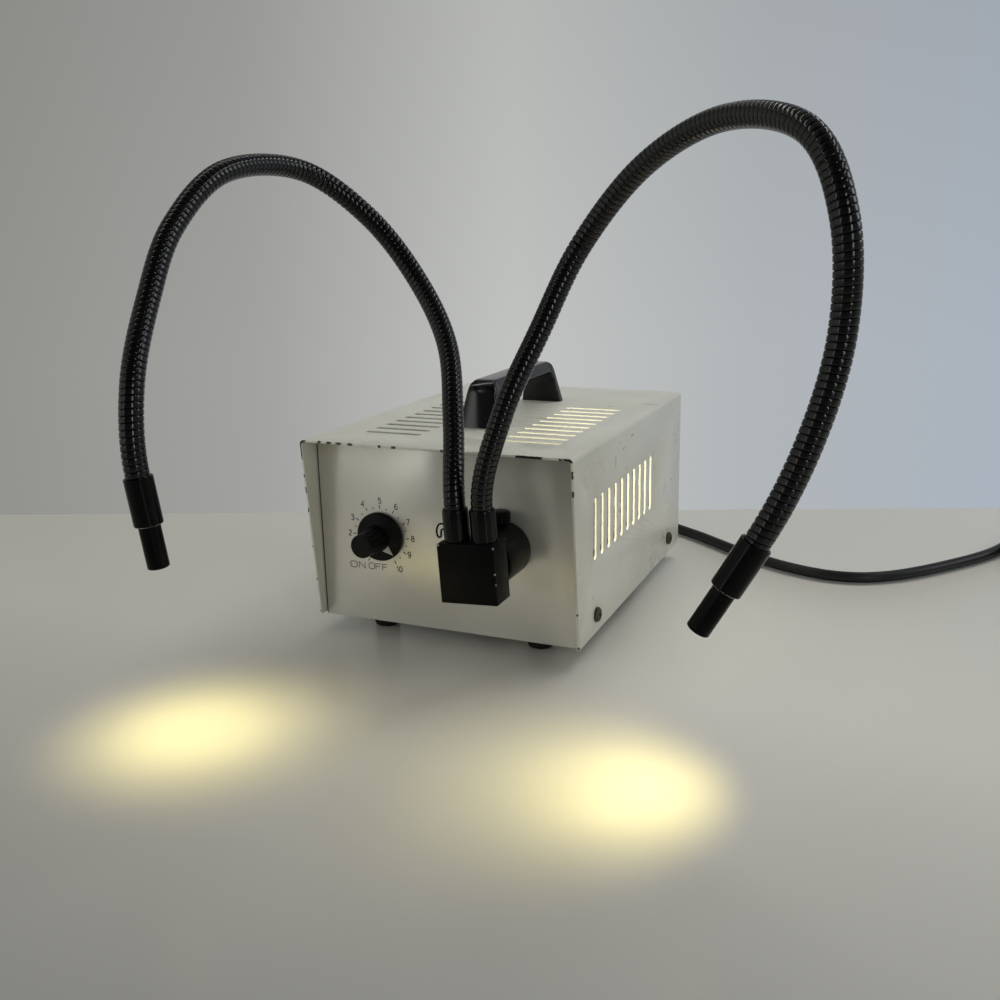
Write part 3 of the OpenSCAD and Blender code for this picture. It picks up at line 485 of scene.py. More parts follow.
M["pointer"] = plain("pointer_grey", (0.44, 0.44, 0.42), (0.55, 0.55, 0.52), 0.5, scale=200, bump=0.05)
M["fan"] = plain("fan_plastic", (0.012, 0.012, 0.013), (0.022, 0.022, 0.023), 0.48, scale=80, bump=0.2)
M["board"] = plain("board_green", (0.02, 0.12, 0.05), (0.035, 0.17, 0.07), 0.35, scale=200, bump=0.1)
M["lamination"] = steel_material("laminations", (0.10, 0.10, 0.11), (0.2, 0.2, 0.21), 0.45)
M["copper"] = plain("winding", (0.30, 0.13, 0.04), (0.42, 0.20, 0.07), 0.4, metallic=0.4, scale=200, stretch=(0.1, 1, 1))
M["ceramic"] = plain("ceramic", (0.72, 0.70, 0.62), (0.8, 0.78, 0.7), 0.55, scale=120)
M["terminal"] = plain("terminal_white", (0.62, 0.61, 0.56), (0.7, 0.69, 0.64), 0.45, scale=120)
M["fuse"] = plain("fuse_black", (0.010, 0.010, 0.010), (0.02, 0.02, 0.02), 0.36, scale=120, bump=0.15)


def glass_material(name, tint, rough, alpha_like=0.9):
    n = Nodes(name)
    n.set(Base_Color=n.ramp(n.noise(60.0, 2.0), [(0.3, tint), (0.7, tuple(min(1, c * 1.04) for c in tint))]),
          Roughness=rough, Transmission_Weight=alpha_like, IOR=1.46)
    return n.mat


M["glass"] = glass_material("filter_glass", (0.80, 0.93, 0.90), 0.04)
M["bulb"] = glass_material("bulb_glass", (0.95, 0.95, 0.92), 0.03)
M["mirror"] = steel_material("mirror_dish", (0.78, 0.79, 0.82), (0.88, 0.89, 0.9), 0.10)


def lit_material(name, colour, strength):
    n = Nodes(name)
    tone = n.ramp(n.noise(900.0, 2.0), [(0.35, tuple(0.86 * c for c in colour)), (0.65, colour)])
    n.set(Base_Color=tone, Emission_Color=tone, Emission_Strength=strength, Roughness=0.3)
    return n.mat


M["lit"] = lit_material("lit_fibres", (1.0, 0.90, 0.62), 14.0)


# ------------------------------------------------------------------ cord
def catmull(points, step):
    """Points every step mm along a smooth line through the given points (centripetal)."""
    p = [Vector(q) for q in points]
    p = [p[0] * 2 - p[1]] + p + [p[-1] * 2 - p[-2]]
    dense = []
    for i in range(1, len(p) - 2):
        a, b, c, d = p[i - 1], p[i], p[i + 1], p[i + 2]
        t0 = 0.0
        t1 = t0 + (b - a).length ** 0.5
        t2 = t1 + (c - b).length ** 0.5
        t3 = t2 + (d - c).length ** 0.5
        for k in range(24):
            t = t1 + (t2 - t1) * k / 24
            a1 = a * ((t1 - t) / (t1 - t0)) + b * ((t - t0) / (t1 - t0))
            a2 = b * ((t2 - t) / (t2 - t1)) + c * ((t - t1) / (t2 - t1))
            a3 = c * ((t3 - t) / (t3 - t2)) + d * ((t - t2) / (t3 - t2))
            b1 = a1 * ((t2 - t) / (t2 - t0)) + a2 * ((t - t0) / (t2 - t0))
            b2 = a2 * ((t3 - t) / (t3 - t1)) + a3 * ((t - t1) / (t3 - t1))
            dense.append(b1 * ((t2 - t) / (t2 - t1)) + b2 * ((t - t1) / (t2 - t1)))
    dense.append(p[-2])
    return resample(dense, step)


def resample(pts, step):
    acc = [0.0]
    for a, b in zip(pts, pts[1:]):
        acc.append(acc[-1] + (b - a).length)
    n = max(2, int(round(acc[-1] / step)))
    out, j = [], 0
    for i in range(n + 1):
        s = acc[-1] * i / n
        while j < len(acc) - 2 and acc[j + 1] < s:
            j += 1
        f = (s - acc[j]) / max(1e-9, acc[j + 1] - acc[j])
        out.append(pts[j].lerp(pts[j + 1], min(1.0, max(0.0, f))))
    return out


def frames(pts, ref=(0, 0, 1)):
    """Parallel-transport frames: (point, tangent, normal, binormal)."""
    n = len(pts)
    tan = [(pts[min(i + 1, n - 1)] - pts[max(i - 1, 0)]).normalized() for i in range(n)]
    nor = Vector(ref) - tan[0] * Vector(ref).dot(tan[0])
    nor.normalize()
    out = []
    for i in range(n):
        if i:
            axis = tan[i - 1].cross(tan[i])
            if axis.length > 1e-9:
                nor = Matrix.Rotation(tan[i - 1].angle(tan[i]), 3, axis.normalized()) @ nor
            nor = (nor - tan[i] * nor.dot(tan[i])).normalized()
        out.append((pts[i], tan[i], nor, tan[i].cross(nor)))
    return out


def tube(name, pts, radius, seg=20, angle=60.0, radii=None):
    verts, faces = [], []
    fr = frames(pts)
    for i, (p, t, u, v) in enumerate(fr):
        r = radius if radii is None else radii[i]
        for k in range(seg):
            a = 2 * math.pi * k / seg
            verts.append((p + (u * math.cos(a) + v * math.sin(a)) * r) * MM)
    for i in range(len(fr) - 1):
        for k in range(seg):
            k2 = (k + 1) % seg
            faces.append((i * seg + k, i * seg + k2, (i + 1) * seg + k2, (i + 1) * seg + k))
    last = (len(fr) - 1) * seg
    faces.append(tuple(range(seg - 1, -1, -1)))
    faces.append(tuple(last + k for k in range(seg)))
    return make(name, verts, faces, angle, weld=False)


def smooth01(x):
    x = min(1.0, max(0.0, x))
    return x * x * (3 - 2 * x)


RUN = [(-22, 110.4, 26), (-22, 118, 26), (-22, 139, 26), (-22, 150, 25), (-21, 161, 21), (-17, 172, 14.5),
       (-9, 181.5, 8.5), (2, 187.5, 5), (15, 189, 3.5), (28, 186, 3.5), (41, 179.5, 3.5), (54, 171, 3.5),
       (67, 161, 3.5), (87, 147, 3.5), (113, 126, 3.5), (137, 108, 3.5), (162, 95, 3.5), (184, 89, 3.5),
       (204, 91, 3.5), (222, 101, 3.5), (239, 117, 3.5), (256, 137, 3.5), (272, 158, 3.5), (284, 178, 3.5),
       (292, 197, 3.5)]
TAIL = [(350, 240, 10.6), (362, 240.5, 11.7), (374, 240.5, 14.5), (386, 240.5, 17.8), (397, 240.5, 19)]


def coil_points():
    out, n = [], 300
    for i in range(n + 1):
        t = 5.19 * i / n
        a = math.radians(158.4 - 360 * t)
        r = 46.2 - 7 * min(t, 2.5) + 7 * max(0.0, t - 2.75)
        z = 3.5 + 7 * smooth01((t - 2.4) / 0.5)
        out.append(Vector((340 + r * math.cos(a), 194 + r * math.sin(a), z)))
    return out


coil = coil_points()
lead_line = [Vector((p.x, p.y, max(p.z, 3.55))) for p in catmull(RUN[2:] + [tuple(p) for p in coil[::6]] + TAIL, 2.6)]
inner_line = catmull(RUN[:3], 3.0)[:-1]
mains_lead = tube("mains_lead", inner_line + lead_line, 3.5, seg=20)
piece(mains_lead, "case", M["cord"], ("mains_lead_run", "mains_lead_coil", "mains_lead_tail"))


def relief_radius():
    rows = [(3.52, 0.0), (8.5, 0.0), (8.5, 0.3), (8.2, 0.6), (8.2, 2.4), (8.5, 2.7), (8.5, 3.0), (6.7, 3.0)]
    y, k = 3.4, 0
    while y < 29.5:
        r = 6.6 - 1.9 * (y - 3.0) / 28.5
        rows += [(r, y), (r, y + 2.0), (r - 0.75, y + 2.25), (r - 0.75, y + 3.0)]
        y += 3.25
    rows += [(4.75, 31.0), (4.5, 31.5), (3.52, 31.5)]
    return rows


strain = lathe("strain_relief_boot", relief_radius(), (-22, 107.5, 26), (0, 1, 0), 48, 30)
nut = lathe("strain_relief_nut", [(6.02, 0), (8.3, 0), (8.5, 0.2), (8.5, 4.6), (8.3, 4.8), (6.02, 4.8)],
            (-22, 101.1, 26), (0, 1, 0), 6, 20)
strain = join("strain_relief_boot", [strain, nut])
shade(strain, 30)
piece(strain, "case", M["plug"], ("strain_relief",))

plug_rows = [(3.5, 0), (5.0, 0), (5.25, 0.4)]
for i in range(5):
    h = 1.6 + 2.9 * i
    plug_rows += [(5.3 + 0.08 * h, h), (5.3 + 0.08 * h, h + 1.6), (4.7 + 0.08 * h, h + 1.9), (4.7 + 0.08 * h, h + 2.6)]
plug_rows += [(6.9, 16.4), (8.6, 18.6), (11.2, 21.6), (13.6, 24.8), (16.2, 28.4), (17.9, 31.0), (18.6, 33.4),
              (18.95, 36.0), (19.0, 38.0), (19.0, 51.6), (18.7, 52.5), (18.0, 53.0), (0, 53.0)]
plug = lathe("plug", [(0, 0.0)] + plug_rows[1:], (394, 240.5, 19), (1, 0, 0), 96, 34)


def capsule(y, z, wy, wz, n=16):
    """Rounded rectangle outline in the YZ plane."""
    r = min(wy, wz) / 2
    out = []
    for cy_, cz_, a0 in ((wy / 2 - r, wz / 2 - r, 0), (-wy / 2 + r, wz / 2 - r, 90),
                         (-wy / 2 + r, -wz / 2 + r, 180), (wy / 2 - r, -wz / 2 + r, 270)):
        for k in range(n // 4 + 1):
            a = math.radians(a0 + 90 * k / (n // 4))
            out.append((y + cy_ + r * math.cos(a), z + cz_ + r * math.sin(a)))
    return out


grip_cuts = []
for sy in (-1, 1):
    for i in range(4):
        x0 = 394 + 37.5 + 3.6 * i
        grip_cuts.append(bevel_box("c", (x0, 240.5 + sy * 19 - 0.8, 19 - 8), (x0 + 1.6, 240.5 + sy * 19 + 0.8, 19 + 8), 0.3, 1))
    grip_cuts.append(bevel_box("c", (394 + 37, 240.5 - 3.5, 19 + sy * 19 - 2.2), (394 + 55, 240.5 + 3.5, 19 + sy * 19 + 2.2), 0.4, 1))
cut(plug, grip_cuts)
bevel(plug, 0.25, 2, 38, 34)
piece(plug, "case", M["plug"], ("plug_body",))
clips = []
for sz in (-1, 1):
    clips.append(prism("c", [(394 + 37.4, 0), (394 + 39.2, -0.9), (394 + 50.8, -0.9), (394 + 52.6, 0), (394 + 52.6, 0.5), (394 + 37.4, 0.5)],
                       lambda p, t, sz=sz: (p[0], 240.5 - 2.4 + t, 19 + sz * (17.3 - p[1])), 4.8))
earth = join("plug_earth_clips", clips)
shade(earth, 30)
piece(earth, "case", M["bright"])
pins = join("plug_pin_pair", [lathe("p", [(0, 0), (2.4, 0), (2.4, 17.6), (2.25, 18.3), (1.8, 18.8), (1.1, 19), (0, 19.0)],
                               (394 + 52.9, 240.5 + s * 9.5, 19), (1, 0, 0), 32, 30) for s in (-1, 1)])
shade(pins, 30)
piece(pins, "case", M["brass"], ("plug_pins",))

# a flat tie holds the coil together
tie_out = []
for a0, cx_, cz_ in ((180, 26.0, 2.2), (90, 26.0, 12.4), (0, 48.9, 12.4), (-90, 48.9, 2.2)):
    for k in range(7):
        a = math.radians(a0 - 90 * k / 6)
        tie_out.append((cx_ + 1.8 * math.cos(a), cz_ + 1.8 * math.sin(a)))
tie_verts, tie_faces = [], []
ta = math.radians(-52)
tie_n = len(tie_out)
for off in (-2.5, 2.5):
    for inset in (0.0, 0.42):
        for q, (r, z) in enumerate(tie_out):
            c = Vector((37.45, 7.3))
            d = Vector((r, z)) - c
            rr, zz = c + d * (1 - inset / max(6.0, d.length))
            base = Vector((340, 194, max(0.02, zz))) + Vector((math.cos(ta), math.sin(ta), 0)) * rr
            tie_verts.append((base + Vector((-math.sin(ta), math.cos(ta), 0)) * off) * MM)
for q in range(tie_n):
    q2 = (q + 1) % tie_n
    o0, i0, o1, i1 = q, tie_n + q, 2 * tie_n + q, 3 * tie_n + q
    p0, j0, p1, j1 = q2, tie_n + q2, 2 * tie_n + q2, 3 * tie_n + q2
    tie_faces += [(o0, o1, p1, p0), (i0, j0, j1, i1), (o0, p0, j0, i0), (o1, i1, j1, p1)]
tie = make("lead_tie", tie_verts, tie_faces, 40)
piece(tie, "case", M["rubber"])

# ------------------------------------------------------------------ gooseneck arms
ARM_L = [(27.115, -135, 92.705), (17.5, -114, 132), (2.5, -88, 168), (-22.5, -72.5, 201.5), (-49.5, -74, 234), (-75, -96.5, 258),
         (-84.5, -148.5, 256.5), (-89.5, -184, 231.5), (-88, -207.5, 200), (-81, -231.5, 164), (-77, -238.5, 124.5)]
ARM_R = [(41.889, -135, 93.583), (51, -129, 139), (65, -113, 179), (81, -99, 218), (113, -106.5, 252.5), (153.5, -131.5, 269),
         (192.5, -168.5, 261), (209.5, -183.5, 230), (211.5, -184.5, 188), (202.5, -191.5, 147), (186, -197.5, 109)]
UP = Vector((-math.sin(math.radians(3.4)), 0, math.cos(math.radians(3.4))))
DIR_L = Vector((0.087, 0.068, -0.994)).normalized()
DIR_R = Vector((-0.49, -0.103, -0.866)).normalized()


def arm_line(ctrl, t0, t1):
    """The same smooth centreline as the CAD arm, sampled densely; also the arc length at each control point."""
    c = [Vector(p) for p in ctrl]

    def slope(i):
        if i == 0:
            return t0 * (c[1] - c[0]).length
        if i == len(c) - 1:
            return t1 * (c[-1] - c[-2]).length
        return (c[i + 1] - c[i - 1]) / 2

    pts, marks = [c[0] - t0 * 9.0], []
    for i in range(len(c) - 1):
        for k in range(60):
            u = k / 60
            p = ((2 * u ** 3 - 3 * u ** 2 + 1) * c[i] + (u ** 3 - 2 * u ** 2 + u) * slope(i)
                 + (3 * u ** 2 - 2 * u ** 3) * c[i + 1] + (u ** 3 - u ** 2) * slope(i + 1))
            if k == 0:
                marks.append(len(pts))
            pts.append(p)
    marks.append(len(pts))
    pts.append(c[-1])
    pts.append(c[-1] + t1 * 9.0)
    fine = resample(pts, 0.5)
    acc = [0.0]
    for a, b in zip(pts, pts[1:]):
        acc.append(acc[-1] + (b - a).length)
    return fine, acc[-1], [acc[m] for m in marks]


PITCH = 2.95


def sheath_radius(q):
    """Radius over one turn of the wound sheath, q from 0 to 1: a round crown and a narrow groove."""
    d = abs(q - 0.5)              # the groove is at q = 0 and q = 1
    if d > 0.43:
        g = (d - 0.43) / 0.07
        return 5.36 - 0.50 * smooth01(min(1.0, g * 1.35))
    return 5.36 + 0.12 * (1 - (d / 0.43) ** 4)


RIB_Q = [0.0, 0.035, 0.07, 0.16, 0.27, 0.385, 0.5, 0.615, 0.73, 0.84, 0.93, 0.965]


def sheath(name, fine, total, s0, s1, hand=1, seg=26):
    """A wound sheath between arc lengths s0 and s1, with one helical groove at PITCH."""
    fr = frames(fine, (1, 0, 0))
    step = total / (len(fine) - 1)
    m = len(RIB_Q)
    first = int(math.floor((s0 - PITCH) / PITCH))
    last = int(math.ceil((s1 + PITCH) / PITCH))
    rings = []
    for i in range(first, last + 1):
        for q in RIB_Q:
            rings.append((i + q, q))
    verts, faces = [], []
    for turn, q in rings:
        for k in range(seg):
            s = min(s1, max(s0, (turn + k / seg) * PITCH))
            x = min(len(fr) - 1.001, max(0.0, s / step))
            j = int(x)
            f = x - j
            p0, t0, u0, v0 = fr[j]
            p1, t1, u1, v1 = fr[j + 1]
            p, u, v = p0.lerp(p1, f), u0.lerp(u1, f).normalized(), v0.lerp(v1, f).normalized()
            a = hand * 2 * math.pi * k / seg
            r = sheath_radius(q)
            clamp = (turn + k / seg) * PITCH
            if clamp < s0 or clamp > s1:
                r = 5.0
            verts.append((p + (u * math.cos(a) + v * math.sin(a)) * r) * MM)
    n = len(rings)
    for i in range(n - 1):
        for k in range(seg - 1):
            faces.append((i * seg + k, i * seg + k + 1, (i + 1) * seg + k + 1, (i + 1) * seg + k))
    # the seam joins each ring's last vertex to the first vertex one turn on
    for i in range(n - 1 - m):
        faces.append((i * seg + seg - 1, (i + m) * seg, (i + 1 + m) * seg, (i + 1) * seg + seg - 1))
    me = bpy.data.meshes.new(name)
    me.from_pydata([tuple(v) for v in verts], [], faces)
    bm = bmesh.new()
    bm.from_mesh(me)
    bmesh.ops.remove_doubles(bm, verts=bm.verts, dist=4e-6)
    bmesh.ops.dissolve_degenerate(bm, dist=4e-6, edges=bm.edges)
    loose = [v for v in bm.verts if not v.link_faces]
    bmesh.ops.delete(bm, geom=loose, context="VERTS")
    edges = [e for e in bm.edges if len(e.link_faces) == 1]
    if edges:
        bmesh.ops.holes_fill(bm, edges=edges, sides=0)
    bmesh.ops.recalc_face_normals(bm, faces=bm.faces)
    bm.to_mesh(me)
    bm.free()
    ob = bpy.data.objects.new(name, me)
    scene.collection.objects.link(ob)
    shade(ob, 48)
    return ob


def arm(side, ctrl, t1, hand, nodes):
    fine, total, marks = arm_line(ctrl, UP, t1)
    cut1 = marks[3]
    cut2 = (marks[6] + marks[7]) / 2
    parts = [("lower", 0.0, cut1, "block", side + "_riser", marks[1], 30),
             ("middle", cut1, cut2, side + "_riser", side + "_drop", marks[5], 35),
             ("upper", cut2, total, side + "_drop", side + "_end", marks[8], 33)]
    for (word, s0, s1, a, b, hinge, reach), covers in zip(parts, nodes):
        ob = sheath(f"gooseneck_{side}_{word}", fine, total, s0, s1, hand)
        ob.data.materials.append(M["hose"])
        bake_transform(ob)
        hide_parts(*covers)


arm("left", ARM_L, DIR_L, 1, [("hose_l1", "hose_l2"), ("hose_l3",), ("hose_l4",)])
arm("right", ARM_R, DIR_R, 1, [("hose_r1", "hose_r2"), ("hose_r3",), ("hose_r4",)])

for side, ctrl, d in (("left", ARM_L, DIR_L), ("right", ARM_R, DIR_R)):
    p = Vector(ctrl[-1])
    s = side[0]
    sleeve = lathe("end_sleeve_" + side, [(5.52, 0.35), (5.9, 0.0), (6.25, 0.0), (6.6, 0.35), (6.6, 21.55), (6.35, 21.9),
                                          (6.2, 22.0), (5.02, 22.0), (5.02, 14), (5.52, 13)], p, d, 72, 28)
    piece(sleeve, side + "_end", M["sleeve"], ("end_sleeve_" + s,))
    rim = lathe("sleeve_rim_" + side, [(5.25, 22.0), (6.42, 21.86), (6.5, 21.92), (6.3, 22.12), (5.25, 22.14)], p, d, 72, 28)
    piece(rim, side + "_end", M["rim"])
    end = lathe("light_tip_" + side, [(3.62, 16), (4.78, 16), (4.78, 22), (5.0, 22.02), (5.0, 41.9), (4.9, 42.28), (4.62, 42.5),
                                      (3.85, 42.5), (3.62, 42.3)], p, d, 72, 28)
    piece(end, side + "_end", M["tip"], ("tip_" + s,))
    face = lathe("fibre_face_" + side, [(0, 42.0), (3.58, 42.0), (3.6, 42.1), (3.3, 42.3), (0, 42.36)], p, d, 48, 28)
    piece(face, side + "_end", M["lit"])

# ------------------------------------------------------------------ case
HW, YF, YB, Z0, Z1, T, BR = 80.0, -109.0, 109.0, 10.0, 115.5, 1.2, 2.5
PY = -94.8


def u_profile():
    out = [(-HW, Z0)]
    for k in range(11):
        a = math.radians(180 - 90 * k / 10)
        out.append((-HW + BR + BR * math.cos(a), Z1 - BR + BR * math.sin(a)))
    for k in range(11):
        a = math.radians(90 - 90 * k / 10)
        out.append((HW - BR + BR * math.cos(a), Z1 - BR + BR * math.sin(a)))
    out.append((HW, Z0))
    out.append((HW - T, Z0))
    for k in range(11):
        a = math.radians(90 * k / 10)
        out.append((HW - BR + (BR - T) * math.cos(a), Z1 - BR + (BR - T) * math.sin(a)))
    for k in range(11):
        a = math.radians(90 + 90 * k / 10)
        out.append((-HW + BR + (BR - T) * math.cos(a), Z1 - BR + (BR - T) * math.sin(a)))
    out.append((-HW + T, Z0))
    return out


cover = prism("cover_shell", u_profile(), lambda p, t: (p[0], YF + t, p[1]), YB - YF)
cuts = [prism("c", [(YF - 20, 0), (YF + 10.2, 0), (YF, Z1 - T), (YF - 20, Z1 - T)], lambda p, t: (-90 + t, p[0], p[1]), 180)]
for s in (-1, 1):
    for i in range(10):
        cuts.append(prism("c", capsule(-73.5 + 12 * i, 69.7, 5, 34.4, 24), lambda p, t, s=s: (s * HW - 4 + t, p[0], p[1]), 8))
        cuts.append(prism("c", capsule(2.7 + s * 41.7, -76.2 + 11.7 * i, 35, 4, 24), lambda p, t: (p[0], p[1], Z1 - 4 + t), 8))
cut(cover, cuts)
bevel(cover, 0.22, 2, 50, 30)
piece(cover, "case", M["paint"], ("cover",))

plate = bevel_box("front_plate", (-78.5, PY, 8.8), (78.5, PY + 2, 114.1), 0.35, 2)
cut(plate, [prism("c", [(x + r * math.cos(2 * math.pi * k / 48), z + r * math.sin(2 * math.pi * k / 48)) for k in range(48)],
                  lambda p, t: (p[0], PY - 2 + t, p[1]), 6) for x, z, r in ((-39.6, 60, 4.8), (36.4, 61.2, 12.6))])
shade(plate, 30)
piece(plate, "case", M["panel"], ("front_panel",))

# ------------------------------------------------------------------ dial markings
def ribbon(points, width, closed=False):
    """Left and right edges of a flat stroke along 2-D points."""
    pts = [Vector(p) for p in points]
    n = len(pts)
    left, right = [], []
    for i, p in enumerate(pts):
        a = pts[(i - 1) % n] if closed or i > 0 else None
        b = pts[(i + 1) % n] if closed or i < n - 1 else None
        d0 = (p - a).normalized() if a is not None else (b - p).normalized()
        d1 = (b - p).normalized() if b is not None else d0
        nrm = Vector((-d0.y - d1.y, d0.x + d1.x))
        nrm = nrm.normalized() if nrm.length > 1e-6 else Vector((-d0.y, d0.x))
        k = 1 / max(0.5, nrm.dot(Vector((-d0.y, d0.x))))
        left.append(p + nrm * width / 2 * k)
        right.append(p - nrm * width / 2 * k)
    return left, right


def strokes(name, items, plane_y, lift=0.06):
    """items: (points, width, closed). Each is a thin raised stroke on the plane y = plane_y, facing -Y."""
    verts, faces = [], []
    for points, width, closed in items:
        left, right = ribbon(points, width, closed)
        n = len(left)
        b = len(verts)
        for y in (plane_y + 0.02, plane_y - lift):
            verts += [(q.x * MM, y * MM, q.y * MM) for q in left] + [(q.x * MM, y * MM, q.y * MM) for q in right]
        count = n if closed else n - 1
        for i in range(count):
            j = (i + 1) % n
            faces += [(b + 2 * n + i, b + 2 * n + j, b + 3 * n + j, b + 3 * n + i), (b + i, b + n + i, b + n + j, b + j),
                      (b + i, b + j, b + 2 * n + j, b + 2 * n + i), (b + n + i, b + 3 * n + i, b + 3 * n + j, b + n + j)]
        if not closed:
            for e in (0, n - 1):
                faces.append((b + e, b + 2 * n + e, b + 3 * n + e, b + n + e))
    return make(name, verts, faces, 30, weld=False)


def arc2(cx_, cy_, rx, ry, a0, a1, n=12):
    return [(cx_ + rx * math.cos(math.radians(a0 + (a1 - a0) * k / n)), cy_ + ry * math.sin(math.radians(a0 + (a1 - a0) * k / n)))
            for k in range(n + 1)]


DIGITS = {
    "0": (0.56, [(arc2(0.28, 0.5, 0.26, 0.48, 0, 345, 22), True)]),
    "1": (0.34, [([(0.02, 0.74), (0.14, 0.80), (0.24, 0.98), (0.24, 0.0)], False)]),
    "2": (0.56, [(arc2(0.27, 0.73, 0.24, 0.25, 165, -35, 12) + [(0.05, 0.04), (0.54, 0.04)], False)]),
    "3": (0.56, [(arc2(0.26, 0.75, 0.22, 0.23, 160, -75, 11) + arc2(0.26, 0.28, 0.26, 0.27, 72, -155, 13), False),
                 ([(0.20, 0.535), (0.33, 0.535)], False)]),
    "4": (0.58, [([(0.42, 0.0), (0.42, 0.97), (0.03, 0.30), (0.56, 0.30)], False)]),
    "5": (0.56, [([(0.50, 0.95), (0.14, 0.95), (0.08, 0.52)] + arc2(0.27, 0.32, 0.26, 0.30, 140, -150, 14), False)]),
    "6": (0.56, [(arc2(0.30, 0.62, 0.24, 0.36, 45, 180, 8) + [(0.04, 0.32)], False), (arc2(0.29, 0.31, 0.25, 0.29, 0, 345, 18), True)]),
    "7": (0.54, [([(0.03, 0.95), (0.52, 0.95), (0.34, 0.55), (0.20, 0.0)], False)]),
    "8": (0.56, [(arc2(0.28, 0.75, 0.21, 0.22, 0, 345, 16), True), (arc2(0.28, 0.27, 0.26, 0.26, 0, 345, 18), True)]),
    "9": (0.56, [(arc2(0.26, 0.38, 0.24, 0.36, -135, 0, 8) + [(0.51, 0.68)], False), (arc2(0.27, 0.69, 0.25, 0.29, 0, 345, 18), True)]),
}


def rounded_loop(w, h, r, n=5):
    out = []
    for cx_, cz_, a0 in ((w - r, h - r, 0), (r, h - r, 90), (r, r, 180), (w - r, r, 270)):
        out += arc2(cx_, cz_, r, r, a0, a0 + 90, n)
    return out


def word_item(text, cx_, cz_, height, wide, gap_shade_strip):
    """Wide square letters O, N and F."""
    items = []
    total = len(text) * wide + (len(text) - 1) * gap_shade_strip
    x = cx_ - total / 2
    for ch in text:
        if ch == "O":
            items.append(([(x + a, cz_ - height / 2 + b) for a, b in rounded_loop(wide, height, height * 0.36)], 0.42, True))
        elif ch == "N":
            items.append(([(x + 0.2, cz_ - height / 2), (x + 0.2, cz_ + height / 2), (x + wide - 0.2, cz_ - height / 2), (x + wide - 0.2, cz_ + height / 2)], 0.42, False))
        elif ch == "F":
            items.append(([(x + 0.2, cz_ - height / 2), (x + 0.2, cz_ + height / 2 - 0.15), (x + wide, cz_ + height / 2 - 0.15)], 0.42, False))
            items.append(([(x + 0.2, cz_ + 0.1), (x + wide * 0.82, cz_ + 0.1)], 0.42, False))
        x += wide + gap_shade_strip
    return items


KX, KZ = -39.6, 60.0
items = []
for k in range(11):
    a = math.radians(90 - (-150 + 30 * k))
    items.append(([(KX + r * math.cos(a), KZ + r * math.sin(a)) for r in (16.0, 18.0)], 0.55, False))
for k in range(10):
    a = math.radians(90 - (-135 + 30 * k))
    items.append(([(KX + r * math.cos(a), KZ + r * math.sin(a)) for r in (15.95, 16.9)], 0.65, False))
spots_at = {"1": (-56.9, 50.0), "2": (-59.65, 60.1), "3": (-57.4, 69.5), "4": (-50.5, 78.0), "5": (-39.3, 80.65),
            "6": (-29.2, 77.85), "7": (-21.9, 69.8), "8": (-19.4, 60.35), "9": (-22.0, 50.8), "10": (-28.7, 41.6)}
H = 3.4
for text, (cx_, cz_) in spots_at.items():
    widths = [DIGITS[ch][0] * H for ch in text]
    x = cx_ - (sum(widths) + 0.55 * (len(text) - 1)) / 2
    for ch, w in zip(text, widths):
        for pts, closed in DIGITS[ch][1]:
            items.append(([(x + a * H, cz_ - H / 2 + b * H) for a, b in pts], 0.5, closed))
        x += w + 0.55
items += word_item("ON", -55.7, 41.4, 3.6, 4.3, 1.1)
items += word_item("OFF", -42.4, 41.6, 3.6, 3.55, 0.75)
marks_ob = strokes("dial_marks", items, PY)
piece(marks_ob, "case", M["ink"])

# ------------------------------------------------------------------ knob
def flutes(r, h, t):
    if h < 4.4 or h > 21.2 or r < 5:
        return r
    fade = smooth01((h - 4.4) / 1.2) * smooth01((21.2 - h) / 1.0)
    c = math.cos(14 * t)
    g = max(0.0, (c - 0.45) / 0.55)
    return r - 0.45 * fade * g * g * (3 - 2 * g)


prof = [(3.05, 6.5), (3.05, 18.0), (0, 18.0)]
knob_profile = [(5.4, 0.8), (5.4, 0.5), (13.75, 0.5), (14.0, 0.75), (14.0, 2.3), (13.75, 2.75), (13.2, 3.15), (12.6, 3.3),
                (8.4, 4.0), (7.75, 4.2), (7.45, 4.6), (7.38, 5.2)]
for k in range(17):
    h = 5.8 + 15.2 * k / 16
    knob_profile.append((7.36 - 0.76 * (h - 5.8) / 15.9, h))
knob_profile += [(6.6, 21.3), (6.58, 21.6), (6.45, 21.9), (6.15, 22.08), (5.7, 22.12), (0, 22.15)]
knob = lathe("dial_knob", [(0, 0.8)] + knob_profile, (KX, PY, KZ), (0, -1, 0), 336, 34, wobble=flutes)
piece(knob, "dial", M["knob"], ("knob",))


def skirt(dx, dz, lift):
    r = math.hypot(dx, dz)
    return 4.0 - (r - 8.4) * (0.7 / 4.2) + lift


tri = [(9.0, -9.7), (6.2, -2.8), (2.0, -7.0)]
axis2 = (Vector(tri[1]) + Vector(tri[2])) / 2
pv, pf = [], []
rowsn = 8
for lift in (0.05, -0.3):
    for i in range(rowsn + 1):
        f = i / rowsn
        for q in (tri[1], tri[2]):
            p = Vector(q).lerp(Vector(tri[0]), f * 0.985)
            pv.append(((KX + p.x) * MM, (PY - skirt(p.x, p.y, lift + 0.12)) * MM, (KZ + p.y) * MM))
o = 2 * (rowsn + 1)
for i in range(rowsn):
    a = 2 * i
    pf += [(a, a + 1, a + 3, a + 2), (o + a, o + a + 2, o + a + 3, o + a + 1), (a, a + 2, o + a + 2, o + a), (a + 1, o + a + 1, o + a + 3, a + 3)]
pf += [(0, o, o + 1, 1), (2 * rowsn, 2 * rowsn + 1, o + 2 * rowsn + 1, o + 2 * rowsn)]
pointer = make("dial_pointer", pv, pf, 30, weld=False)
piece(pointer, "dial", M["pointer"])

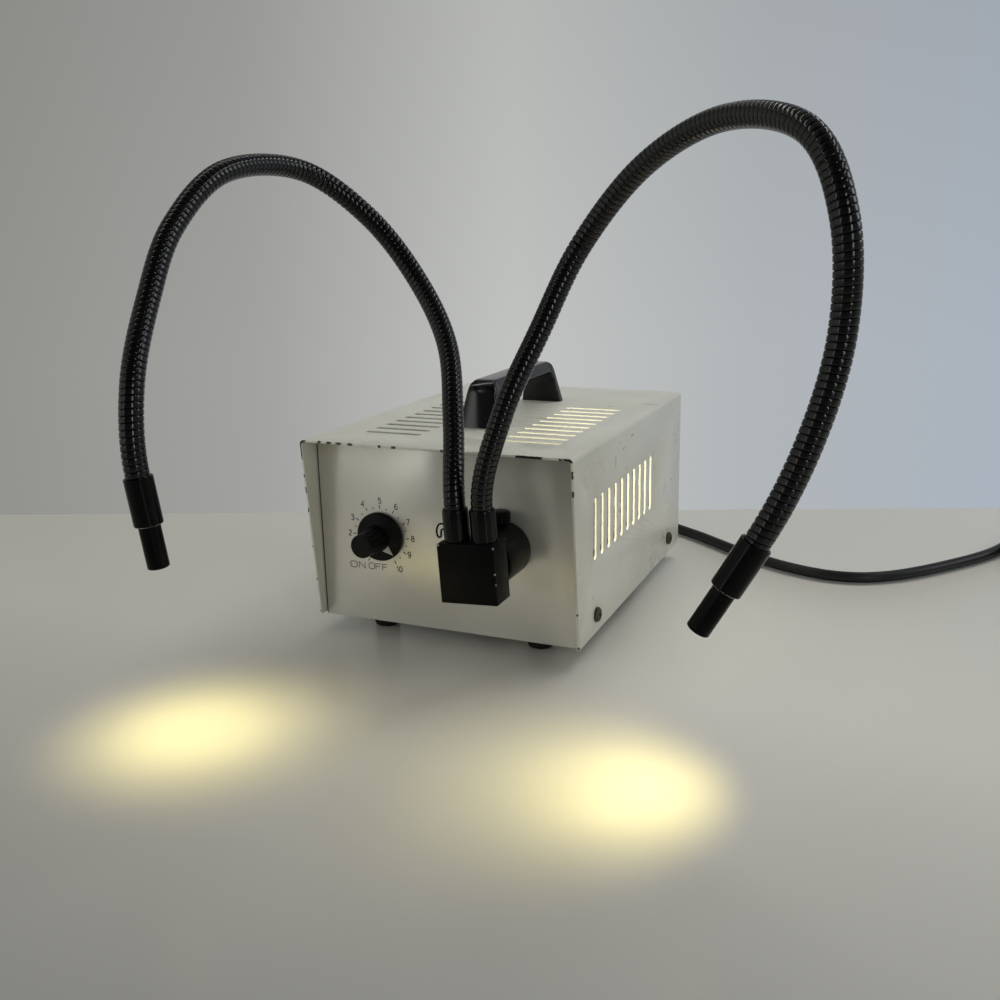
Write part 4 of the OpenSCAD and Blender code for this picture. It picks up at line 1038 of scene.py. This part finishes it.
# ------------------------------------------------------------------ port, clamp and light guide
LX, LZ = 36.4, 61.2
hub = lathe("light_port_hub", [(10.05, 26.9), (10.4, 27.0), (14.1, 27.0), (14.55, 26.85), (14.9, 26.45), (15.0, 26.0), (15.0, 0.4),
                               (14.8, 0.0), (12.5, 0.0), (12.5, -10.0), (10.05, -10.0)], (LX, PY, LZ), (0, -1, 0), 96, 30)
cut(hub, [lathe("c", [(0, 0), (2.1, 0), (2.1, 12), (0, 12)], (LX, -101, LZ + 6), (0, 0, 1), 24)])
shade(hub, 30)
piece(hub, "case", M["port"], ("port_hub",))


def knurl(r, h, t):
    if 16.2 < h < 20.6 and r > 5.6:
        c = math.cos(20 * t)
        return r - 0.42 * max(0.0, -c) ** 0.7
    return r


clamp = lathe("clamp_thumbscrew", [(0, 10.5), (1.8, 10.5), (2.05, 10.8), (2.05, 15.6), (4.6, 15.6), (5.3, 15.8), (5.75, 16.3)]
              + [(5.8, 16.35 + 4.2 * k / 5) for k in range(6)] + [(5.7, 20.9), (5.2, 21.6), (4.3, 22.05), (0, 22.1)],
              (LX, -101, LZ), (0, 0, 1), 240, 30, wobble=knurl)
piece(clamp, "clamp", M["port"], ("clamp_screw",))
ferrule = lathe("guide_ferrule_tube", [(6.05, -40.0), (9.6, -40.0), (10.0, -39.6), (10.0, -0.1), (8.0, -0.1), (8.0, 3.9), (6.05, 3.9)],
                (LX, -127, LZ), (0, -1, 0), 96, 30)
piece(ferrule, "ferrule", M["bright"], ("guide_ferrule",))

ROLL = Matrix.Translation(Vector((LX, 0, LZ)) * MM) @ Matrix.Rotation(math.radians(-3.4), 4, "Y")


def rolled(ob):
    ob.data.transform(ROLL)
    return ob


block = bevel_box("guide_y_block", (-15.5, -143, -15.5), (15.5, -127, 15.5), 0.55, 3)
cut(block, [lathe("c", [(0, 0), (8.05, 0), (8.05, 4.6), (0, 4.6)], (0, -126.5, 0), (0, -1, 0), 64),
            lathe("c", [(0, 0), (11, 0), (11, 8.4), (0, 8.4)], (0, -131.1, 0), (0, -1, 0), 64)]
    + [lathe("c", [(0, 6), (3.45, 6), (3.45, 17), (0, 17)], (s * 7.4, -135, 0), (0, 0, 1), 32) for s in (-1, 1)])
rolled(block)
shade(block, 32)
piece(block, "block", M["block"], ("guide_block",))
collars = [lathe("c", [(3.6, 15.52), (6.2, 15.52), (6.6, 15.8), (6.6, 30.9), (6.45, 31.6), (6.1, 32.0), (5.75, 32.0), (5.62, 31.7), (5.62, 24.0), (3.6, 24.0)],
                 (s * 7.4, -135, 0), (0, 0, 1), 72, 28) for s in (-1, 1)]
collar = rolled(join("hose_collars", collars))
shade(collar, 28)
piece(collar, "block", M["collar"], ("arm_collars",))
clip_pts = [(21.6, 83), (20, 83.8), (18.2, 83.6), (17, 82), (16.5, 79.8), (16.8, 77.6), (17.7, 76.6), (18.7, 77), (19, 78.5),
            (19.1, 80.2), (20, 81.1), (21.8, 80.6)]
clip = tube("collar_wire_clip", catmull([(x, -135, z) for x, z in clip_pts], 0.6), 0.5, 14)
piece(clip, "block", M["collar"], ("wire_clip",))

# ------------------------------------------------------------------ handle
HX = 1.5


def lerp_table(t, rows):
    for (a, u), (b, v) in zip(rows, rows[1:]):
        if t <= b:
            f = (t - a) / (b - a)
            return u + (v - u) * f
    return rows[-1][1]


ZT, ZU = 142.0, 135.5
outer = [(-49.5, Z1)] + [(-36.8 + 8 * math.cos(math.radians(168 - 78 * k / 12)), ZT - 8 + 8 * math.sin(math.radians(168 - 78 * k / 12))) for k in range(13)]
inner = [(-42.0, Z1), (-39.4, ZU - 7)] + [(-34.6 + 5 * math.cos(math.radians(172 - 82 * k / 8)), ZU - 5 + 5 * math.sin(math.radians(172 - 82 * k / 8))) for k in range(9)]
outer2 = [(44.6 + 8 * math.cos(math.radians(90 - 78 * k / 12)), ZT - 8 + 8 * math.sin(math.radians(90 - 78 * k / 12))) for k in range(13)] + [(56.8, Z1)]
inner2 = [(41.6 + 5 * math.cos(math.radians(90 - 82 * k / 8)), ZU - 5 + 5 * math.sin(math.radians(90 - 82 * k / 8))) for k in range(9)] + [(46.6, ZU - 7), (49.4, Z1)]


def even(pts, n):
    p = [Vector((a, b, 0)) for a, b in pts]
    acc = [0.0]
    for a, b in zip(p, p[1:]):
        acc.append(acc[-1] + (b - a).length)
    out, j = [], 0
    for i in range(n):
        s = acc[-1] * i / (n - 1)
        while j < len(acc) - 2 and acc[j + 1] < s:
            j += 1
        out.append(p[j].lerp(p[j + 1], (s - acc[j]) / max(1e-9, acc[j + 1] - acc[j])))
    return out


pairs = list(zip(even(outer, 26), even(inner, 26)))
bar_o = [Vector((-36.8 + 81.4 * k / 16, ZT, 0)) for k in range(1, 16)]
bar_i = [Vector((-34.6 + 76.2 * k / 16, ZU, 0)) for k in range(1, 16)]
pairs += list(zip(bar_o, bar_i)) + list(zip(even(outer2, 26), even(inner2, 26)))


def half_width(z):
    return lerp_table(z, [(Z1, 13.5), (Z1 + 4, 12.7), (ZT - 1.6, 8.5), (ZT, 7.4)])


hv, hf = [], []
RING = 28
for po, pi in pairs:
    wo, wi = half_width(po.y) - 0.15, half_width(pi.y) - 0.15
    d = pi - po
    th = d.length
    d.normalize()
    ro, ri = 2.2, 1.1
    outline = []
    for sx, rr, at_, w in ((1, ro, 0.0, wo), (1, ri, th, wi), (-1, ri, th, wi), (-1, ro, 0.0, wo)):
        quarter = []
        for k in range(7):
            a = math.pi / 2 * k / 6
            if at_ == 0.0:
                quarter.append((w - rr + rr * math.sin(a), rr - rr * math.cos(a)))
            else:
                quarter.append((w - rr + rr * math.cos(a), th - rr + rr * math.sin(a)))
        if sx < 0:
            quarter = [(-a, b) for a, b in reversed(quarter)]
        outline += quarter
    for a, b in outline:
        q = po + d * b
        hv.append(((HX + a) * MM, q.x * MM, q.y * MM))
n = len(pairs)
for i in range(n - 1):
    for k in range(RING):
        k2 = (k + 1) % RING
        hf.append((i * RING + k, i * RING + k2, (i + 1) * RING + k2, (i + 1) * RING + k))
hf.append(tuple(range(RING)))
hf.append(tuple((n - 1) * RING + k for k in range(RING)))
handle = make("carry_handle", hv, hf, 38)
cut(handle, [lathe("c", [(0, -1), (2, -1), (2, 9.3), (0, 9.3)], (HX, y, Z1), (0, 0, 1), 24) for y in (-44.8, 52.2)])
shade(handle, 38)
piece(handle, "case", M["gloss_black"], ("handle",))

# ------------------------------------------------------------------ feet and screws
feet = []
for x in (-49, 49):
    for y in (-76, 76):
        feet.append(lathe("f", [(4.6, 0.0), (6.4, 0.0), (6.9, 0.3), (7.35, 1.2), (7.5, 3.0), (7.5, 8.6), (7.3, 9.4), (7.0, 9.99),
                                (2.0, 9.99), (2.0, 6.0), (4.6, 6.0)], (x, y, 0), (0, 0, 1), 56, 30))
feet = join("rubber_feet", feet)
shade(feet, 30)
piece(feet, "case", M["rubber"], ("feet",))


def screw(origin, axis, turn):
    """Pan-head screw with a cross recess; its head stands on the origin, the shank runs back 10 mm."""
    head = lathe("s", [(0, -9.99), (1.5, -9.99), (1.9, -9.5), (1.9, 0.0), (3.9, 0.0), (4.15, 0.25), (4.2, 0.7), (4.1, 1.3), (3.75, 1.9),
                       (3.1, 2.32), (2.2, 2.52), (1.2, 2.59), (0, 2.6)], (0, 0, 0), (0, 0, 1), 40, 28)
    tools = [bevel_box("c", (-2.5, -0.42, 1.05), (2.5, 0.42, 3.2), 0.12, 1), bevel_box("c", (-0.42, -2.5, 1.05), (0.42, 2.5, 3.2), 0.12, 1)]
    for t in tools:
        cut(head, [t])
    q = Vector((0, 0, 1)).rotation_difference(Vector(axis)).to_matrix().to_4x4()
    head.data.transform(Matrix.Translation(Vector(origin) * MM) @ q @ Matrix.Rotation(math.radians(turn), 4, "Z"))
    return head


screws = []
k = 0
for y in (-71.7, 80.3):
    for s in (-1, 1):
        screws.append(screw((s * 80.0, y, 20.6), (s, 0, 0), 23 + 37 * k))
        k += 1
for a in (-1, 1):
    for b in (-1, 1):
        screws.append(screw((34 + a * 35.75, 109.3, 64 + b * 35.75), (0, 1, 0), 17 + 41 * k))
        k += 1
        screws.append(screw((49 * a, 76 * b, 6), (0, 0, -1), 11 + 29 * k))
        k += 1
for y in (-44.8, 52.2):
    screws.append(screw((HX, y, Z1 - 1.2), (0, 0, -1), 31 + 23 * k))
    k += 1
screws = join("case_screws", screws)
shade(screws, 28)
piece(screws, "case", M["screw"], ("m4_screws",))

# ------------------------------------------------------------------ back
cap = lathe("fuse_carrier", [(0, -14), (4.7, -14), (4.88, -13.8), (4.88, 1.2), (6.1, 1.2), (6.3, 1.4), (6.3, 5.9), (6.1, 6.3), (5.7, 6.6), (0, 6.6)],
            (-55, 109, 45), (0, 1, 0), 180, 28, wobble=lambda r, h, t: r - (0.28 * max(0.0, math.cos(18 * t)) if 1.5 < h < 5.9 and r > 6 else 0))
cut(cap, [bevel_box("c", (-60, 109 + 5.4, 44.4), (-50, 109 + 8, 45.6), 0.15, 1)])
shade(cap, 28)
piece(cap, "fuse", M["fuse"], ("fuse_cap",))

# CAD nodes that stay: their shapes are right, and they get their own finishes
KEEP = {"chassis": "plated", "rear_panel": "paint", "panel_nuts": "bright", "pot_body": "plated", "pot_shaft": "bright",
        "dimmer_board": "board", "transformer_core": "lamination", "transformer_winding": "copper", "transformer_bracket": "plated",
        "heat_shield": "shield", "lamp_reflector": "mirror", "lamp_bulb": "bulb", "lamp_socket": "ceramic", "lamp_bracket": "shield",
        "filter_holder": "shield", "heat_filter": "glass", "fan_frame": "fan", "fan_rotor": "fan", "fan_guard": "chrome",
        "fuse_holder": "fuse", "terminal_block": "terminal", "fibre_trunk": "glass_fibre", "fibre_split": "glass_fibre",
        "fibres_l2": "glass_fibre", "fibres_l3": "glass_fibre", "fibres_l4": "glass_fibre",
        "fibres_r2": "glass_fibre", "fibres_r3": "glass_fibre", "fibres_r4": "glass_fibre"}
M["shield"] = plain("heat_shield_sheet", (0.60, 0.59, 0.56), (0.70, 0.69, 0.65), 0.5, metallic=0.15, scale=40)
M["glass_fibre"] = plain("glass_fibres", (0.62, 0.60, 0.52), (0.74, 0.72, 0.62), 0.35, scale=700)
for node, key in KEEP.items():
    me = NODES[node].data
    me.materials.clear()
    me.materials.append(M[key])

# ------------------------------------------------------------------ stage and lights
def stage_material(name, a, b, rough, scale, coat=0.0):
    n = Nodes(name)
    tone = n.ramp(n.noise(scale, 1.0), [(0.3, a), (0.7, b)])
    # painted shade: the floor colour darkens towards the front, from y = -0.12 m to y = -0.40 m, standing in for the
    # light falling off there
    n.set(Base_Color=n.mix(n.span(n.xyz()[1], -0.40, -0.12, 1.0, 0.0), tone, (0.37, 0.365, 0.34)), Roughness=rough)
    return n.mat


floor_mat = stage_material("stage_floor", (0.640, 0.625, 0.570), (0.670, 0.655, 0.600), 0.30, 2.0)
# table top: its far edge runs where the photograph's does
fwd = Vector((-0.3501, 0.9367))
right = Vector((0.9367, 0.3501))
mid = Vector((0.0, 0.2076))
corners = [mid - right * 3.0, mid + right * 3.0, mid + right * 3.0 - fwd * 4.0, mid - right * 3.0 - fwd * 4.0]
fv = [(c.x, c.y, -0.0002) for c in corners] + [(c.x, c.y, -0.03) for c in corners]
floor = make("stage_table", fv, [(0, 1, 2, 3), (7, 6, 5, 4), (0, 4, 5, 1), (1, 5, 6, 2), (2, 6, 7, 3), (3, 7, 4, 0)], 30, weld=False)
bevel(floor, 1.5, 3, 40, 40)
floor.data.materials.append(floor_mat)

world = bpy.data.worlds.new("studio")
scene.world = world
world.use_nodes = True
wt = world.node_tree
bg = next(n for n in wt.nodes if n.type == "BACKGROUND")
tc = wt.nodes.new("ShaderNodeTexCoord")
split = wt.nodes.new("ShaderNodeSeparateXYZ")
wt.links.new(tc.outputs["Generated"], split.inputs[0])
turn = wt.nodes.new("ShaderNodeMath")
turn.operation = "ARCTAN2"
wt.links.new(split.outputs[1], turn.inputs[0])
wt.links.new(split.outputs[0], turn.inputs[1])
around = wt.nodes.new("ShaderNodeMapRange")
around.inputs[1].default_value = -math.pi
around.inputs[2].default_value = math.pi
wt.links.new(turn.outputs[0], around.inputs[0])
ring = wt.nodes.new("ShaderNodeValToRGB")
RING_STOPS = [(-180, (0.40, 0.40, 0.38)), (-150, (0.62, 0.62, 0.59)), (-132, (0.58, 0.58, 0.55)), (-122, (0.42, 0.42, 0.40)),
              (-117, (0.12, 0.12, 0.115)), (-94, (0.10, 0.10, 0.10)), (-60, (0.11, 0.11, 0.11)), (-30, (0.16, 0.16, 0.16)), (0, (0.28, 0.29, 0.30)),
              (35, (0.39, 0.405, 0.42)), (60, (0.42, 0.44, 0.46)), (88, (0.405, 0.45, 0.515)), (100, (0.435, 0.462, 0.48)),
              (113, (0.535, 0.545, 0.53)), (126, (0.360, 0.365, 0.350)), (140, (0.285, 0.29, 0.27)), (180, (0.40, 0.40, 0.38))]
el = ring.color_ramp.elements
while len(el) < len(RING_STOPS):
    el.new(0.5)
for e, (a, c) in zip(el, RING_STOPS):
    e.position = (a + 180) / 360
    e.color = (*c, 1.0)
wt.links.new(around.outputs[0], ring.inputs[0])
rise = wt.nodes.new("ShaderNodeMapRange")
rise.inputs[1].default_value = -0.12
rise.inputs[2].default_value = 0.2
rise.inputs[3].default_value = 1.0
rise.inputs[4].default_value = 0.86
wt.links.new(split.outputs[2], rise.inputs[0])
high = wt.nodes.new("ShaderNodeMapRange")
high.inputs[1].default_value = 0.25
high.inputs[2].default_value = 0.80
high.inputs[3].default_value = 1.0
high.inputs[4].default_value = 0.42
wt.links.new(split.outputs[2], high.inputs[0])
both = wt.nodes.new("ShaderNodeMath")
both.operation = "MULTIPLY"
wt.links.new(rise.outputs[0], both.inputs[0])
wt.links.new(high.outputs[0], both.inputs[1])
shade_up = wt.nodes.new("ShaderNodeVectorMath")
shade_up.operation = "SCALE"
wt.links.new(ring.outputs["Color"], shade_up.inputs[0])
wt.links.new(both.outputs[0], shade_up.inputs["Scale"])
wt.links.new(shade_up.outputs[0], bg.inputs["Color"])
bg.inputs["Strength"].default_value = 1.0
scene.view_settings.view_transform = "Standard"


def area(name, loc, target, size, size_y, power, colour):
    d = bpy.data.lights.new(name, "AREA")
    d.shape = "RECTANGLE"
    d.size = size
    d.size_y = size_y
    d.energy = power
    d.color = colour
    o = bpy.data.objects.new(name, d)
    scene.collection.objects.link(o)
    o.location = loc
    o.rotation_euler = (Vector(target) - Vector(loc)).to_track_quat("-Z", "Y").to_euler()
    return o


area("overhead", (0.40, 0.85, 1.6), (0.05, 0.05, 0.1), 1.4, 0.7, 12.0, (1.0, 0.985, 0.95)).visible_glossy = False
area("front_fill", (-1.5, -1.2, 0.6), (0.0, -0.1, 0.06), 1.0, 1.0, 8.0, (1.0, 0.99, 0.96)).visible_glossy = False
area("back_right", (1.8, 0.75, 1.0), (0.1, 0.0, 0.05), 0.8, 0.8, 5.0, (0.93, 0.96, 1.0))
area("strip_a", (-0.45, 0.10, 1.25), (0.05, -0.1, 0.15), 1.5, 0.07, 1.6, (1.0, 0.99, 0.97))
area("strip_b", (0.75, 0.35, 1.15), (0.05, -0.1, 0.15), 1.5, 0.07, 1.8, (1.0, 0.99, 0.97))
area("window_left", (-2.40, -4.35, 1.3), (0.05, -0.1, 0.3), 0.50, 3.2, 9.0, (1.0, 0.995, 0.98))
area("window_right", (1.45, -1.35, 0.75), (0.05, -0.1, 0.3), 0.20, 1.1, 4.5, (0.97, 0.985, 1.0))


# the lit space behind the lamp side's slots
area("lamp_glow_side", (0.062, -0.018, 0.066), (0.2, -0.018, 0.066), 0.150, 0.062, 0.115, (1.0, 0.93, 0.70))
area("lamp_glow_top", (0.045, -0.022, 0.100), (0.045, -0.022, 0.3), 0.066, 0.132, 0.075, (1.0, 0.93, 0.72))

for side, ctrl, d, body in (("left", ARM_L, DIR_L, "left_end"), ("right", ARM_R, DIR_R, "right_end")):
    tip_at = Vector(ctrl[-1]) + d * 43.2
    light = bpy.data.lights.new("beam_" + side, "SPOT")
    light.energy = 0.46
    light.color = (1.0, 0.86, 0.34)
    light.spot_size = math.radians(104)
    light.spot_blend = 1.0
    light.shadow_soft_size = 0.0035
    ob = bpy.data.objects.new("beam_" + side, light)
    scene.collection.objects.link(ob)
    ob.location = tip_at * MM
    ob.rotation_euler = d.to_track_quat("-Z", "Y").to_euler()
    bpy.context.view_layer.update()
    w = ob.matrix_world.copy()
    ob.parent = BODIES[body]
    ob.matrix_world = w
